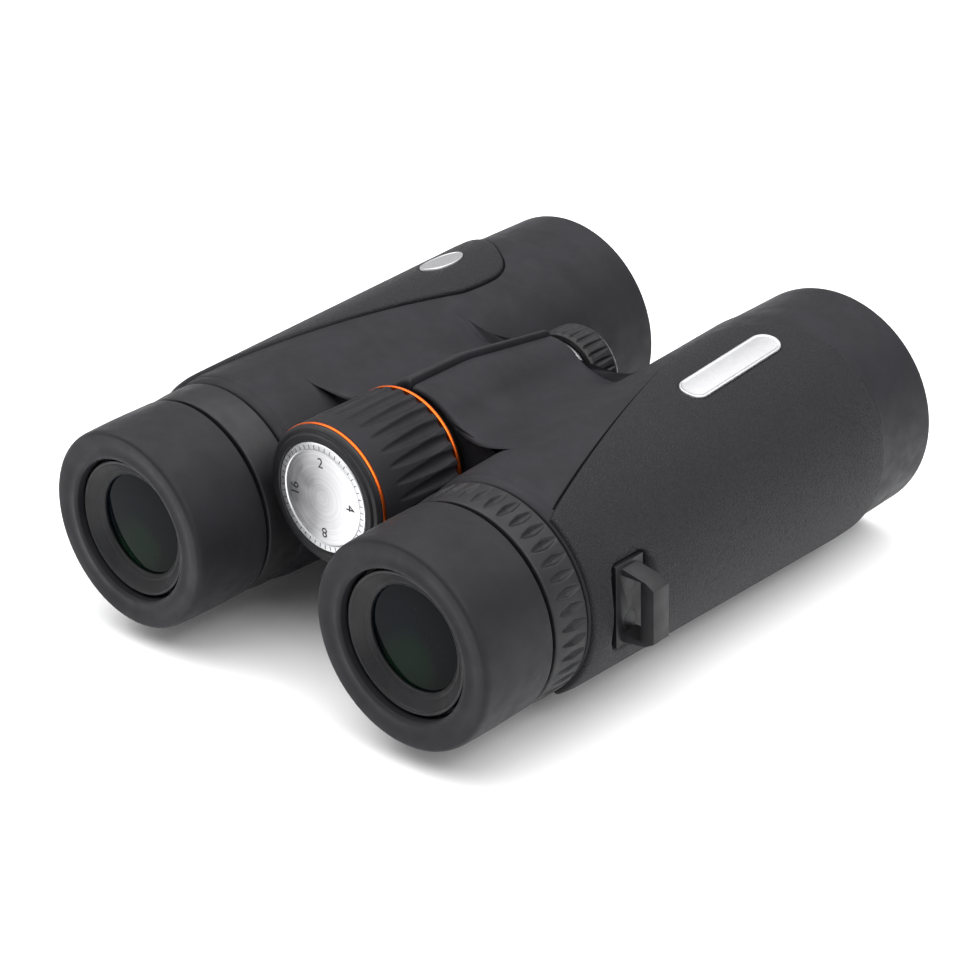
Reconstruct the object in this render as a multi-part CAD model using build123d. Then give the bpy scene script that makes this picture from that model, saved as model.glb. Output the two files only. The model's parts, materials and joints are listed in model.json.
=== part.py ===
from build123d import *
import math
import os

os.makedirs("parts", exist_ok=True)

# Roof-prism binoculars of the 42 mm class, hinge fully open, lying on their barrels.
#
# Working frame, in millimetres: +Y is the optical axis from the eyecups to the objectives, +X is
# towards the right barrel and +Z is up. A station is a distance along +Y from the eyecup rims.
# Barrel pieces are drawn about their own axis, with +X pointing away from the hinge.
# The last step moves everything so that the origin is at the bottom centre of the whole object.

# ---- overall sizes -------------------------------------------------------------------------
LENGTH = 138.25
BARREL_SPACING = 74.2
HINGE_RISE = 11.4
OUTER_RADIUS = 26.2
HINGE_TRAVEL = 53.0

# ---- clearances ----------------------------------------------------------------------------
RUNNING_FIT = 0.05
BODY_GAP = 0.3
EDGE_BREAK = 0.4
OVERCUT = 1.0

# ---- armour and body tube ------------------------------------------------------------------
ARMOUR_REAR = 28.0
REAR_RADIUS = 22.45
LIP_LENGTH = 3.0
LIP_DROP = 0.75
ARMOUR_WALL = 1.7
PANEL_PROUD = 0.7
PANEL_DEPTH = 0.6
PANEL_GROOVE = 0.35
PANEL_FRONT = LENGTH - 18.25
PANEL_EDGE = 2.0
PANEL_REAR_X = 12.3
PANEL_INNER_X = -8.6
PANEL_CORNER_X = 12.2
PANEL_CORNER_LENGTH = 24.0
PANEL_WAIST = 5.0
HOOD_RADIUS = 25.2
HOOD_OVERHANG = 4.25
HOOD_WALL = 2.5
HOOD_ROUND = 0.8
TUBE_FRONT = LENGTH - HOOD_OVERHANG
HOOD_SKIN = 1.5

# ---- optics --------------------------------------------------------------------------------
LENS_BORE = 22.0
LENS_SEAT_STEP = 1.4
LENS_SEAT_DEPTH = 15.5
LENS_SEAT_THICKNESS = 2.0
FLINT_THICKNESS = 3.8
CROWN_THICKNESS = 5.2
CEMENTED_SAG = 2.2
CROWN_SAG = 1.6
FLINT_REAR_SAG = 0.6
OBJECTIVE_RING_WIDTH = 1.1
OBJECTIVE_RING_LENGTH = 2.6
INNER_BORE = 19.05
INNER_BORE_FRONT = 82.0
PRISM_REAR = 36.0
PRISM_APERTURE = 17.0
PRISM_AIR_GAP = 0.4
PRISM_MIRROR_RUN = 0.82
PRISM_EXIT_RUN = 1.70
PRISM_ROOF_HEIGHT = 0.82
PRISM_BACK_MARGIN = 1.2
CAGE_PLATE = 1.7
CAGE_WALL = 2.0
CAGE_WINDOW = 8.0

# ---- eyepiece and eyecup -------------------------------------------------------------------
EYECUP_LENGTH = 18.0
EYECUP_TAPER = 0.3
EYECUP_HOLE_GAP = 0.7
EYECUP_SKIN = 1.6
EYECUP_FACE = 2.0
EYECUP_ROUND = 1.2
EYECUP_CORE_WALL = 2.9
GUIDE_WALL = 2.1
GUIDE_LENGTH = 11.5
GUIDE_REAR = 4.5
HOUSING_REAR = 1.5
HOUSING_RADIUS = 14.5
HOUSING_LAND = 0.6
EYE_APERTURE = 10.7
EYE_CONE_DEPTH = 2.3
EYE_SEAT = 4.4
EYE_BORE_STEP = 0.8
EYE_LENS_EDGE = 4.6
EYE_LENS_SAG = 1.2
EYE_LENS_REAR_SAG = 0.3
MIDDLE_LENS_EDGE = 6.0
MIDDLE_LENS_SAG = 0.9
EYE_LENS_SPACE = 0.4
COLLAR_REAR = 18.5
COLLAR_RADIUS = 18.6
RING_REAR = 19.0
RING_LENGTH = 8.5
RING_RADIUS = 21.8
RING_TAPER = 0.3
SPIGOT_RADIUS = 17.8
SPIGOT_LENGTH = 4.0
FIELD_BORE = 12.05
FIELD_STOP_STATION = 29.6
FIELD_STOP_RADIUS = 8.5
FIELD_CELL_REAR = 20.0
FIELD_CELL_LENGTH = 6.0
FIELD_LENS_INSET = 1.0
FIELD_LENS_EDGE = 4.0
FIELD_LENS_REAR_SAG = 0.5
FIELD_LENS_FRONT_SAG = 0.7
FIELD_STOP_LENGTH = 1.0
CELL_RING_WALL = 1.6
DIOPTRE_TRAVEL = 1.2
DIOPTRE_PIN_RADIUS = 0.9
DIOPTRE_POCKETS = 42
POCKET_DEPTH = 0.55
POCKET_RADIUS = 1.0
POCKET_INSET = 1.2

# ---- hinge and bridge ----------------------------------------------------------------------
CROWN_RADIUS = 14.3
KNUCKLE_WALL = 1.1
CROWN_FLAT_FRONT = 62.0
SKIN = 1.4
LIP_RISE = 1.2
LIP_WIDTH_DEG = 9.0
SEAM_DEG = 91.0
SEAM_GAP_DEG = 1.6
BRIDGE_REAR = 45.4
BRIDGE_FRONT = 88.6
KNUCKLE_REAR = 46.4
KNUCKLE_FRONT = 88.5
CENTRE_REAR = 54.0
CENTRE_FRONT = 82.0
WEB_CROWN_DEG = 55.0
WEB_BOTTOM_DEG = 40.0
SKIRT_DEG = 82.0
WEB_VALLEY_INSET = 18.5
WEB_VALLEY_HEIGHT = 18.3
WEB_TOP_INSET = 6.0
WEB_SINK = 0.4
WEB_FLANK_DEG = 205.0
HINGE_TUBE_RADIUS = 6.5
HINGE_TUBE_WALL = 2.0
HINGE_TUBE_REAR = 43.7
BUSH_WALL = 1.3
BUSH_FLANGE_WIDTH = 0.8
BUSH_FLANGE = 0.8
NUT_LENGTH = 1.4
NUT_WALL = 2.5
NUT_NOTCHES = 4
NUT_NOTCH_DEPTH = 1.0
NUT_NOTCH_HALF_WIDTH = 1.0
TRIPOD_FLANGE = 1.2
TRIPOD_FLANGE_WIDTH = 2.1
TRIPOD_BOSS_RADIUS = 6.0
TRIPOD_BOSS_LENGTH = 6.0
TRIPOD_SOCKET_RADIUS = 3.175
TRIPOD_SOCKET_DEPTH = 10.0
TRIPOD_PLUG_LENGTH = 9.0
CAP_RADIUS = 10.0
CAP_LENGTH = 8.8
CAP_FACE = 2.3
CAP_RIBS = 30
CAP_ROUND = 2.6
CAP_GROOVE_RADIUS = 0.6
CAP_GROOVE_DEPTH = 0.35
CAP_GROOVE_INSET = 1.2

# ---- focusing drive ------------------------------------------------------------------------
FOCUS_TRAVEL = 5.0
SPINDLE_RADIUS = 2.5
SPINDLE_FRONT = 79.0
SPINDLE_BEARING_LENGTH = 7.0
CIRCLIP_THICKNESS = 0.8
CIRCLIP_RADIUS = 3.6
CIRCLIP_HALF_SPLIT = 0.6
FOLLOWER_REAR = 63.5
FOLLOWER_LENGTH = 10.0
GROOVE_WIDTH = 3.0
GROOVE_DEPTH = 1.4
FOCUS_CELL_REAR = 64.0
FOCUS_CELL_LENGTH = 9.0
FOCUS_CELL_WALL = 2.4
ARM_HALF_HEIGHT = 1.5
ARM_SLOT_INSET = 3.0
ARM_CLEARANCE = 0.4
ARM_TIP_CLEARANCE = 0.5
FOCUS_LENS_INSET = 2.0
FOCUS_LENS_EDGE = 4.0
FOCUS_LENS_REAR_SAG = 1.2
FOCUS_LENS_FRONT_SAG = 0.4

# ---- focus knob ----------------------------------------------------------------------------
KNOB_REAR = 18.7
KNOB_FRONT = 43.3
KNOB_RADIUS = 15.0
KNOB_GRIP_WALL = 1.5
KNOB_RIM = 1.7
KNOB_WALL = 1.8
KNOB_FACE = 2.2
SPINDLE_BLIND = 0.5
KNOB_BOSS_RADIUS = 5.0
KNOB_BOSS_INSET = 0.6
KNOB_STEP = 0.8
ACCENT_WIDTH = 0.8
ACCENT_BREAK = 0.2
KNOB_FRONT_BAND = 0.5
DISC_MARGIN = 3.4
DISC_THICKNESS = 1.0
KNOB_FLUTES = 30
FLUTE_DEPTH = 0.45
FLUTE_RADIUS = 1.3
FLUTE_REAR = 27.5

# ---- strap lugs, plate and badge -----------------------------------------------------------
LUG_RECESS_REAR = 34.9
LUG_RECESS_LENGTH = 9.5
LUG_RECESS_HALF_HEIGHT = 9.2
LUG_BASE_MARGIN = 0.7
LUG_BASE_THICKNESS = 1.0
LUG_LOOP_LENGTH = 4.6
LUG_REACH = 29.4
LUG_TIP_TOP = 5.2
LUG_TIP_BOTTOM = 6.0
LUG_TIP_BEVEL = 2.0
LUG_TIP_SLOPE = 1.2
LUG_SLOT_HALF_HEIGHT = 6.2
LUG_SLOT_WIDTH = 4.4
LUG_SCREW_RADIUS = 1.0
LUG_SCREW_HEAD = 1.7
LUG_SCREW_HEAD_HEIGHT = 0.6
LUG_SCREW_INSET = 2.2
PLATE_LENGTH = 31.0
PLATE_WIDTH = 6.5
PLATE_STATION = LENGTH - 44.95
PLATE_TILT_DEG = 77.5
PLATE_SLANT_DEG = 2.0
BADGE_LENGTH = 12.0
BADGE_WIDTH = 7.5
BADGE_STATION = LENGTH - 38.25
BADGE_TILT_DEG = 80.0
PLATE_PROUD = 0.4
PLATE_DEPTH = 0.5
PLATE_ZONE = 60.0

# ---- worked out from the sizes above -------------------------------------------------------
HALF_SPACING = BARREL_SPACING / 2
HINGE_REACH = math.hypot(HALF_SPACING, HINGE_RISE)
ARM_DEG = math.degrees(math.atan2(HINGE_RISE, HALF_SPACING))
TUBE_FRONT_RADIUS = HOOD_RADIUS - HOOD_SKIN
LENS_SEAT = TUBE_FRONT - LENS_SEAT_DEPTH
FLINT_FRONT = LENS_SEAT + FLINT_THICKNESS
CROWN_FRONT = FLINT_FRONT + CROWN_THICKNESS
EYE_BORE = EYE_APERTURE + EYE_BORE_STEP
FIELD_BORE_REAR = FIELD_CELL_REAR - DIOPTRE_TRAVEL - BODY_GAP
EYECUP_HOLE = HOUSING_RADIUS + EYECUP_HOLE_GAP
GUIDE_RADIUS = HOUSING_RADIUS + RUNNING_FIT + GUIDE_WALL
EYECUP_CORE_RADIUS = GUIDE_RADIUS + RUNNING_FIT + EYECUP_CORE_WALL
EYECUP_RADIUS = EYECUP_CORE_RADIUS + EYECUP_SKIN + EYECUP_TAPER
LENS_SEAT_RADIUS = LENS_BORE - LENS_SEAT_STEP
HINGE_TUBE_BORE = HINGE_TUBE_RADIUS - HINGE_TUBE_WALL
NUT_RADIUS = HINGE_TUBE_RADIUS + NUT_WALL
BUSH_RADIUS = HINGE_TUBE_RADIUS + BUSH_WALL
BUSH_FLANGE_RADIUS = BUSH_RADIUS + BUSH_FLANGE_WIDTH
CROWN_FRONT_RADIUS = BUSH_RADIUS + KNUCKLE_WALL + BODY_GAP + SKIN
TRIPOD_FLANGE_RADIUS = HINGE_TUBE_RADIUS + TRIPOD_FLANGE_WIDTH
DISC_RADIUS = KNOB_RADIUS - DISC_MARGIN
BUSH_BORE = HINGE_TUBE_RADIUS + RUNNING_FIT
TRIPOD_FLANGE_REAR = KNUCKLE_FRONT + BUSH_FLANGE + BODY_GAP
TRIPOD_BOSS_REAR = TRIPOD_FLANGE_REAR + TRIPOD_FLANGE
TRIPOD_MOUTH = TRIPOD_BOSS_REAR + TRIPOD_BOSS_LENGTH
CAP_REAR = TRIPOD_BOSS_REAR + BODY_GAP
FOLLOWER_RADIUS = HINGE_TUBE_BORE - RUNNING_FIT
GROOVE_STATION = FOLLOWER_REAR + FOLLOWER_LENGTH / 2
FOCUS_CELL_RADIUS = INNER_BORE - RUNNING_FIT
ARM_SLOT_REAR = GROOVE_STATION - GROOVE_WIDTH / 2 - BODY_GAP
ARM_SLOT_FRONT = GROOVE_STATION + FOCUS_TRAVEL + GROOVE_WIDTH / 2 + BODY_GAP
ARM_SLOT_HALF = ARM_HALF_HEIGHT + ARM_CLEARANCE
KNOB_GRIP_RADIUS = KNOB_RADIUS - KNOB_GRIP_WALL
SPINDLE_REAR = KNOB_REAR + DISC_THICKNESS + KNOB_FACE - SPINDLE_BLIND
FAR = 4 * OUTER_RADIUS

TO_HINGE = Pos(0, 0, HINGE_RISE)
TO_RIGHT_BARREL = Pos(HALF_SPACING, 0, 0)
TO_ROW_FRAME = Pos(0, -LENGTH / 2, OUTER_RADIUS)


# ---- shared shapes -------------------------------------------------------------------------
def turned(*points):
    """Solid of revolution about the Y axis, from a closed outline of (radius, station) points."""
    return revolve(make_face(Polyline(*points, close=True)), Axis.Y, 360)


def ring(rear, front, inner, outer):
    """Plain ring about the Y axis."""
    return turned((inner, rear), (outer, rear), (outer, front), (inner, front))


def rod(rear, front, radius):
    """Plain cylinder about the Y axis."""
    return turned((0, rear), (radius, rear), (radius, front), (0, front))


def bar(points, rear, front):
    """Straight bar along Y, whose section is the outline through the (x, z) points."""
    section = Plane.XZ.offset(-rear) * make_face(Polyline(*points, close=True))
    return extrude(section, amount=rear - front)


def block(x_range, y_range, z_range):
    """Box between the given limits."""
    spans = [high - low for low, high in (x_range, y_range, z_range)]
    middle = [(low + high) / 2 for low, high in (x_range, y_range, z_range)]
    return Pos(*middle) * Box(*spans)


def polar(radius, degrees):
    """Point of the X-Z plane, with its angle measured from +X towards +Z."""
    return (radius * math.cos(math.radians(degrees)), radius * math.sin(math.radians(degrees)))


def sector(low_deg, high_deg, rear, front, radius=FAR):
    """Wedge about the Y axis between two angles in the X-Z plane."""
    steps = max(2, math.ceil((high_deg - low_deg) / 30))
    turns = [low_deg + (high_deg - low_deg) * step / steps for step in range(steps + 1)]
    return bar([(0, 0)] + [polar(radius, turn) for turn in turns], rear, front)


def dome_curve(radius, edge, sag):
    """Half of a spherical lens face, from the axis to the rim; a positive sag goes towards +Y."""
    if sag == 0:
        return Line((0, edge), (radius, edge))
    sphere = (radius**2 + sag**2) / (2 * abs(sag))
    fall = sphere - math.sqrt(sphere**2 - (radius / 2) ** 2)
    middle = edge + sag - math.copysign(fall, sag)
    return ThreePointArc((0, edge + sag), (radius / 2, middle), (radius, edge))


def lens(radius, rear, front, rear_sag, front_sag):
    """Round lens about the Y axis, whose two faces sag towards +Y by the given amounts."""
    outline = [
        dome_curve(radius, rear, rear_sag),
        Line((radius, rear), (radius, front)),
        dome_curve(radius, front, front_sag),
        Line((0, front + front_sag), (0, rear + rear_sag)),
    ]
    return revolve(make_face(outline), Axis.Y, 360)


def around(count, shape):
    """Copies of a shape, evenly spaced about the Y axis."""
    return [Rot(0, 360 * index / count, 0) * shape for index in range(count)]


# ---- profiles that several pieces share ----------------------------------------------------
def armour_radius(station):
    """Smooth armour's outer radius: a slow cone that widens towards the objective."""
    widening = (OUTER_RADIUS - PANEL_PROUD - REAR_RADIUS) / (PANEL_FRONT - PANEL_EDGE - ARMOUR_REAR)
    return REAR_RADIUS + (station - ARMOUR_REAR) * widening


def tube_radius(station):
    """Body tube's outer radius, one armour wall inside the armour."""
    return armour_radius(station) - ARMOUR_WALL


def crown_radius(station):
    """Bridge skin's outer radius about the hinge: level at the rear, falling towards the front."""
    fall = (CROWN_RADIUS - CROWN_FRONT_RADIUS) / (BRIDGE_FRONT - CROWN_FLAT_FRONT)
    return CROWN_RADIUS - max(0, station - CROWN_FLAT_FRONT) * fall


def drum_radius(station):
    """Outer radius of the hinge knuckles, clear of the skin that passes over them."""
    return crown_radius(station) - SKIN - BODY_GAP


def crown_body(rear, front, inner, grow):
    """Solid about the hinge that follows the knuckles' outer surface, grown by a given amount."""
    stations = [rear]
    if rear < CROWN_FLAT_FRONT < front:
        stations.append(CROWN_FLAT_FRONT)
    stations.append(front)
    outside = [(drum_radius(station) + grow, station) for station in stations]
    return turned((inner, rear), *outside, (inner, front))


def tube_envelope():
    """Outside of the body tube, as a full solid."""
    return turned(
        (0, ARMOUR_REAR),
        (tube_radius(ARMOUR_REAR), ARMOUR_REAR),
        (tube_radius(PANEL_FRONT - PANEL_EDGE), PANEL_FRONT - PANEL_EDGE),
        (TUBE_FRONT_RADIUS, PANEL_FRONT),
        (TUBE_FRONT_RADIUS, TUBE_FRONT),
        (0, TUBE_FRONT),
    )


def tube_inside():
    """Hollow of the body tube: eyepiece seat, inner bore, cone and objective bore."""
    return turned(
        (0, ARMOUR_REAR - OVERCUT),
        (SPIGOT_RADIUS, ARMOUR_REAR - OVERCUT),
        (SPIGOT_RADIUS, ARMOUR_REAR + SPIGOT_LENGTH),
        (INNER_BORE, ARMOUR_REAR + SPIGOT_LENGTH),
        (INNER_BORE, INNER_BORE_FRONT),
        (LENS_SEAT_RADIUS + EDGE_BREAK, LENS_SEAT - 2 * LENS_SEAT_THICKNESS),
        (LENS_SEAT_RADIUS, LENS_SEAT - LENS_SEAT_THICKNESS),
        (LENS_SEAT_RADIUS, LENS_SEAT),
        (LENS_BORE, LENS_SEAT),
        (LENS_BORE, TUBE_FRONT + OVERCUT),
        (0, TUBE_FRONT + OVERCUT),
    )


def web_outline():
    """Section of the bridge between the hinge and the right barrel, in the working frame."""
    crown = polar(CROWN_FRONT_RADIUS, WEB_CROWN_DEG)
    crown_point = (crown[0], HINGE_RISE + crown[1])
    low = polar(CROWN_RADIUS - SKIN, -WEB_BOTTOM_DEG)
    low_point = (low[0], HINGE_RISE + low[1])
    shoulder_height = math.sqrt(armour_radius(BRIDGE_REAR) ** 2 - WEB_TOP_INSET**2) - WEB_SINK
    shoulder = (HALF_SPACING - WEB_TOP_INSET, shoulder_height)
    valley = (HALF_SPACING - WEB_VALLEY_INSET, WEB_VALLEY_HEIGHT)
    flank = polar(armour_radius(BRIDGE_REAR) - WEB_SINK, WEB_FLANK_DEG)
    outline = [
        ThreePointArc(crown_point, valley, shoulder),
        Polyline(shoulder, (HALF_SPACING, 0), (HALF_SPACING + flank[0], flank[1]), low_point),
        Polyline(low_point, (0, HINGE_RISE), crown_point),
    ]
    return make_face(outline)


def web(inset):
    """Bridge block of the right half, drawn in from the outer skin on every side."""
    outline = web_outline()
    if inset > 0:
        outline = offset(outline, amount=-inset, kind=Kind.INTERSECTION)
    section = Plane.XZ.offset(-(BRIDGE_REAR + inset)) * outline
    return extrude(section, amount=-(BRIDGE_FRONT - BRIDGE_REAR - 2 * inset))


def panel_outline(grow=0.0):
    """Grip panel seen from above: a straight diagonal edge, then a round corner at the front."""
    rear = ARMOUR_REAR - OVERCUT
    start, corner = (PANEL_REAR_X, rear), (PANEL_INNER_X, PANEL_FRONT - PANEL_CORNER_LENGTH)
    waist = (PANEL_INNER_X + PANEL_WAIST, PANEL_FRONT - PANEL_CORNER_LENGTH / 3)
    end = (PANEL_CORNER_X, PANEL_FRONT - PANEL_EDGE)
    outline = [
        Line(start, corner),
        ThreePointArc(corner, waist, end),
        Polyline(end, (FAR, PANEL_FRONT - PANEL_EDGE), (FAR, rear), start),
    ]
    face = make_face(outline)
    if grow > 0:
        face = offset(face, amount=grow)
    return extrude(face, amount=FAR, both=True)


def panel_shell(proud):
    """Curved layer that the grip panel is cut from, standing proud of the armour."""
    widest = PANEL_FRONT - PANEL_EDGE
    lip = ARMOUR_REAR + LIP_LENGTH
    return turned(
        (armour_radius(ARMOUR_REAR) - PANEL_DEPTH, ARMOUR_REAR),
        (armour_radius(ARMOUR_REAR) - LIP_DROP + proud, ARMOUR_REAR),
        (armour_radius(lip) + proud, lip),
        (armour_radius(widest) + proud, widest),
        (armour_radius(widest) - PANEL_DEPTH, widest),
    )


def lug_recess():
    """Space cut out of the panel and the armour round the strap lug."""
    front = LUG_RECESS_REAR + LUG_RECESS_LENGTH
    half = LUG_RECESS_HALF_HEIGHT
    return block((SPIGOT_RADIUS, FAR), (LUG_RECESS_REAR, front), (-half, half))


def arm_room():
    """Straight slot from the right barrel's bore to the hinge axis, for the focusing arm."""
    rear, front, half = ARM_SLOT_REAR, ARM_SLOT_FRONT, ARM_SLOT_HALF
    slot = block((-HINGE_REACH, -INNER_BORE + ARM_SLOT_INSET), (rear, front), (-half, half))
    return TO_RIGHT_BARREL * (Rot(0, ARM_DEG, 0) * slot)


def arm_sweep():
    """Wedge about the hinge that the left arm sweeps as the hinge folds."""
    start = 180 + ARM_DEG
    end = start + HINGE_TRAVEL
    fan = sector(start, end, ARM_SLOT_REAR, ARM_SLOT_FRONT)
    slot = block((0, HINGE_REACH), (ARM_SLOT_REAR, ARM_SLOT_FRONT), (-ARM_SLOT_HALF, ARM_SLOT_HALF))
    return TO_HINGE * (fan + Rot(0, -start, 0) * slot + Rot(0, -end, 0) * slot)


# ---- castings and armour -------------------------------------------------------------------
def casting(is_right):
    """Cast body tube with its web and hinge knuckles, for the right side's mirror position."""
    tube = TO_RIGHT_BARREL * tube_envelope()
    core = web(ARMOUR_WALL)
    if is_right:
        rear_room = crown_body(BRIDGE_REAR - OVERCUT, CENTRE_REAR, 0, BODY_GAP)
        front_room = crown_body(CENTRE_FRONT, BRIDGE_FRONT + OVERCUT, 0, BODY_GAP)
        core = core - TO_HINGE * rear_room - TO_HINGE * front_room
        knuckles = TO_HINGE * crown_body(CENTRE_REAR, CENTRE_FRONT, 0, 0)
        bore = HINGE_TUBE_RADIUS
    else:
        centre_room = crown_body(CENTRE_REAR - BODY_GAP, CENTRE_FRONT + BODY_GAP, 0, BODY_GAP)
        core = core - TO_HINGE * centre_room
        rear_knuckle = crown_body(KNUCKLE_REAR, CENTRE_REAR - BODY_GAP, 0, 0)
        front_knuckle = crown_body(CENTRE_FRONT + BODY_GAP, KNUCKLE_FRONT, 0, 0)
        knuckles = TO_HINGE * (rear_knuckle + front_knuckle)
        bore = BUSH_RADIUS
    body = tube + core + knuckles
    body = body - TO_RIGHT_BARREL * tube_inside()
    body = body - TO_HINGE * rod(BRIDGE_REAR - OVERCUT, BRIDGE_FRONT + OVERCUT, bore)
    body = body - arm_room()
    if is_right:
        body = body - arm_sweep()
    return body - lug_screw_holes()


def armour(is_right):
    """Rubber armour moulding: barrel sleeve, hood and the skin over the bridge."""
    lip = ARMOUR_REAR + LIP_LENGTH
    sleeve = turned(
        (0, ARMOUR_REAR),
        (armour_radius(ARMOUR_REAR) - LIP_DROP, ARMOUR_REAR),
        (armour_radius(lip), lip),
        (armour_radius(PANEL_FRONT - PANEL_EDGE), PANEL_FRONT - PANEL_EDGE),
        (HOOD_RADIUS, PANEL_FRONT + PANEL_EDGE),
        (HOOD_RADIUS, LENGTH - HOOD_ROUND),
        (HOOD_RADIUS - HOOD_ROUND, LENGTH),
        (0, LENGTH),
    )
    hood_room = rod(TUBE_FRONT - OVERCUT, LENGTH + OVERCUT, HOOD_RADIUS - HOOD_WALL)
    skin = crown_body(BRIDGE_REAR, BRIDGE_FRONT, 0, SKIN + BODY_GAP)
    if is_right:
        skin = skin & sector(0, SEAM_DEG, BRIDGE_REAR, BRIDGE_FRONT)
    else:
        edge = 180 - SEAM_DEG - SEAM_GAP_DEG
        skin = skin & sector(-SKIRT_DEG, edge, BRIDGE_REAR, BRIDGE_FRONT)
        bead = crown_body(BRIDGE_REAR, BRIDGE_FRONT, 0, SKIN + BODY_GAP + LIP_RISE)
        skin = skin + (bead & sector(edge - LIP_WIDTH_DEG, edge, BRIDGE_REAR, BRIDGE_FRONT))
    moulding = TO_RIGHT_BARREL * sleeve + web(0) + TO_HINGE * skin
    moulding = moulding - TO_RIGHT_BARREL * tube_envelope() - web(ARMOUR_WALL)
    moulding = moulding - TO_RIGHT_BARREL * hood_room
    drum_room = crown_body(BRIDGE_REAR - OVERCUT, BRIDGE_FRONT + OVERCUT, 0, BODY_GAP)
    moulding = moulding - TO_HINGE * drum_room
    moulding = moulding - TO_RIGHT_BARREL * (panel_shell(FAR) & panel_outline(PANEL_GROOVE))
    return moulding - TO_RIGHT_BARREL * lug_recess()


def grip_panel(badge_seat):
    """Textured panel let into the armour, with room for the lug and for a plate or badge."""
    return (panel_shell(PANEL_PROUD) & panel_outline()) - lug_recess() - badge_seat


# ---- strap lug, plate and badge ------------------------------------------------------------
def strap_lug():
    """Strap lug: a base on the tube, a loop that narrows outwards, and its slot along Y."""
    floor = tube_radius(LUG_RECESS_REAR) + LUG_BASE_THICKNESS
    base_rear = LUG_RECESS_REAR + LUG_BASE_MARGIN
    base_front = LUG_RECESS_REAR + LUG_RECESS_LENGTH - LUG_BASE_MARGIN
    half = LUG_RECESS_HALF_HEIGHT - LUG_BASE_MARGIN
    middle = (base_rear + base_front) / 2
    base = block((SPIGOT_RADIUS, floor), (base_rear, base_front), (-half, half))
    outline = [
        (SPIGOT_RADIUS, half),
        (LUG_REACH - LUG_TIP_BEVEL, LUG_TIP_TOP + LUG_TIP_SLOPE),
        (LUG_REACH, LUG_TIP_TOP),
        (LUG_REACH, -LUG_TIP_BOTTOM),
        (LUG_REACH - LUG_TIP_BEVEL, -LUG_TIP_BOTTOM - LUG_TIP_SLOPE),
        (SPIGOT_RADIUS, -half),
    ]
    loop = bar(outline, middle - LUG_LOOP_LENGTH / 2, middle + LUG_LOOP_LENGTH / 2)
    slot_half = LUG_SLOT_HALF_HEIGHT
    slot_span = (base_rear - OVERCUT, base_front + OVERCUT)
    slot = block((floor, floor + LUG_SLOT_WIDTH), slot_span, (-slot_half, slot_half))
    lug = base + (loop - slot)
    return lug - tube_envelope() - lug_screws()


def lug_screws():
    """Two screws through the lug's base into the tube wall, one each side of the loop."""
    middle = LUG_RECESS_REAR + LUG_RECESS_LENGTH / 2
    floor = tube_radius(LUG_RECESS_REAR) + LUG_BASE_THICKNESS
    root = INNER_BORE + EDGE_BREAK
    reach = LUG_SLOT_HALF_HEIGHT - LUG_SCREW_INSET
    shank = Pos((root + floor) / 2, 0, 0) * (Rot(0, 90, 0) * Cylinder(LUG_SCREW_RADIUS, floor - root))
    head = Rot(0, 90, 0) * Cylinder(LUG_SCREW_HEAD, LUG_SCREW_HEAD_HEIGHT)
    screw = shank + Pos(floor - LUG_SCREW_HEAD_HEIGHT / 2, 0, 0) * head
    screws = [Pos(0, middle, height) * screw for height in (-reach, reach)]
    return screws[0] + screws[1]


def lug_screw_holes():
    """The lug screws, where they sit in the right barrel."""
    return TO_RIGHT_BARREL * lug_screws()


def on_barrel(face, station, tilt_deg, slant_deg):
    """Column through the top of the barrel, with a face's outline, at a station and a tilt."""
    outward = polar(1, tilt_deg)
    plane = Plane(origin=(0, station, 0), x_dir=(0, 1, 0), z_dir=(outward[0], 0, outward[1]))
    return extrude(plane * (Rot(0, 0, slant_deg) * face), amount=FAR)


def name_plate(grow=0.0):
    """Long bare plate that follows the panel's curve."""
    outline = SlotOverall(PLATE_LENGTH + 2 * grow, PLATE_WIDTH + 2 * grow)
    return on_barrel(outline, PLATE_STATION, PLATE_TILT_DEG, PLATE_SLANT_DEG) & plate_layer(grow > 0)


def badge(grow=0.0):
    """Small bare oval badge that follows the panel's curve."""
    outline = Ellipse(BADGE_LENGTH / 2 + grow, BADGE_WIDTH / 2 + grow)
    return on_barrel(outline, BADGE_STATION, BADGE_TILT_DEG, 0) & plate_layer(grow > 0)


def plate_layer(is_seat):
    """Curved layer that a plate or a badge is cut from, or the open seat that it lies in."""
    rear, front = PANEL_FRONT - PLATE_ZONE, PANEL_FRONT - PANEL_EDGE
    low = PANEL_PROUD - PLATE_DEPTH
    high = PANEL_PROUD + PLATE_PROUD + (OVERCUT if is_seat else 0)
    return turned(
        (armour_radius(rear) + low, rear),
        (armour_radius(rear) + high, rear),
        (armour_radius(front) + high, front),
        (armour_radius(front) + low, front),
    )


# ---- optics --------------------------------------------------------------------------------
def objective_flint():
    """Rear lens of the cemented objective, seated on the tube's shoulder."""
    return lens(LENS_BORE - RUNNING_FIT, LENS_SEAT, FLINT_FRONT, FLINT_REAR_SAG, -CEMENTED_SAG)


def objective_crown():
    """Front lens of the cemented objective."""
    return lens(LENS_BORE - RUNNING_FIT, FLINT_FRONT, CROWN_FRONT, -CEMENTED_SAG, CROWN_SAG)


def objective_ring():
    """Threaded ring that clamps the objective."""
    inner = LENS_BORE - OBJECTIVE_RING_WIDTH
    front = CROWN_FRONT + OBJECTIVE_RING_LENGTH
    bevel = CROWN_SAG * (1 - (inner / LENS_BORE) ** 2)
    return turned(
        (inner, CROWN_FRONT + bevel),
        (LENS_BORE, CROWN_FRONT),
        (LENS_BORE, front),
        (inner, front),
    )


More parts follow.
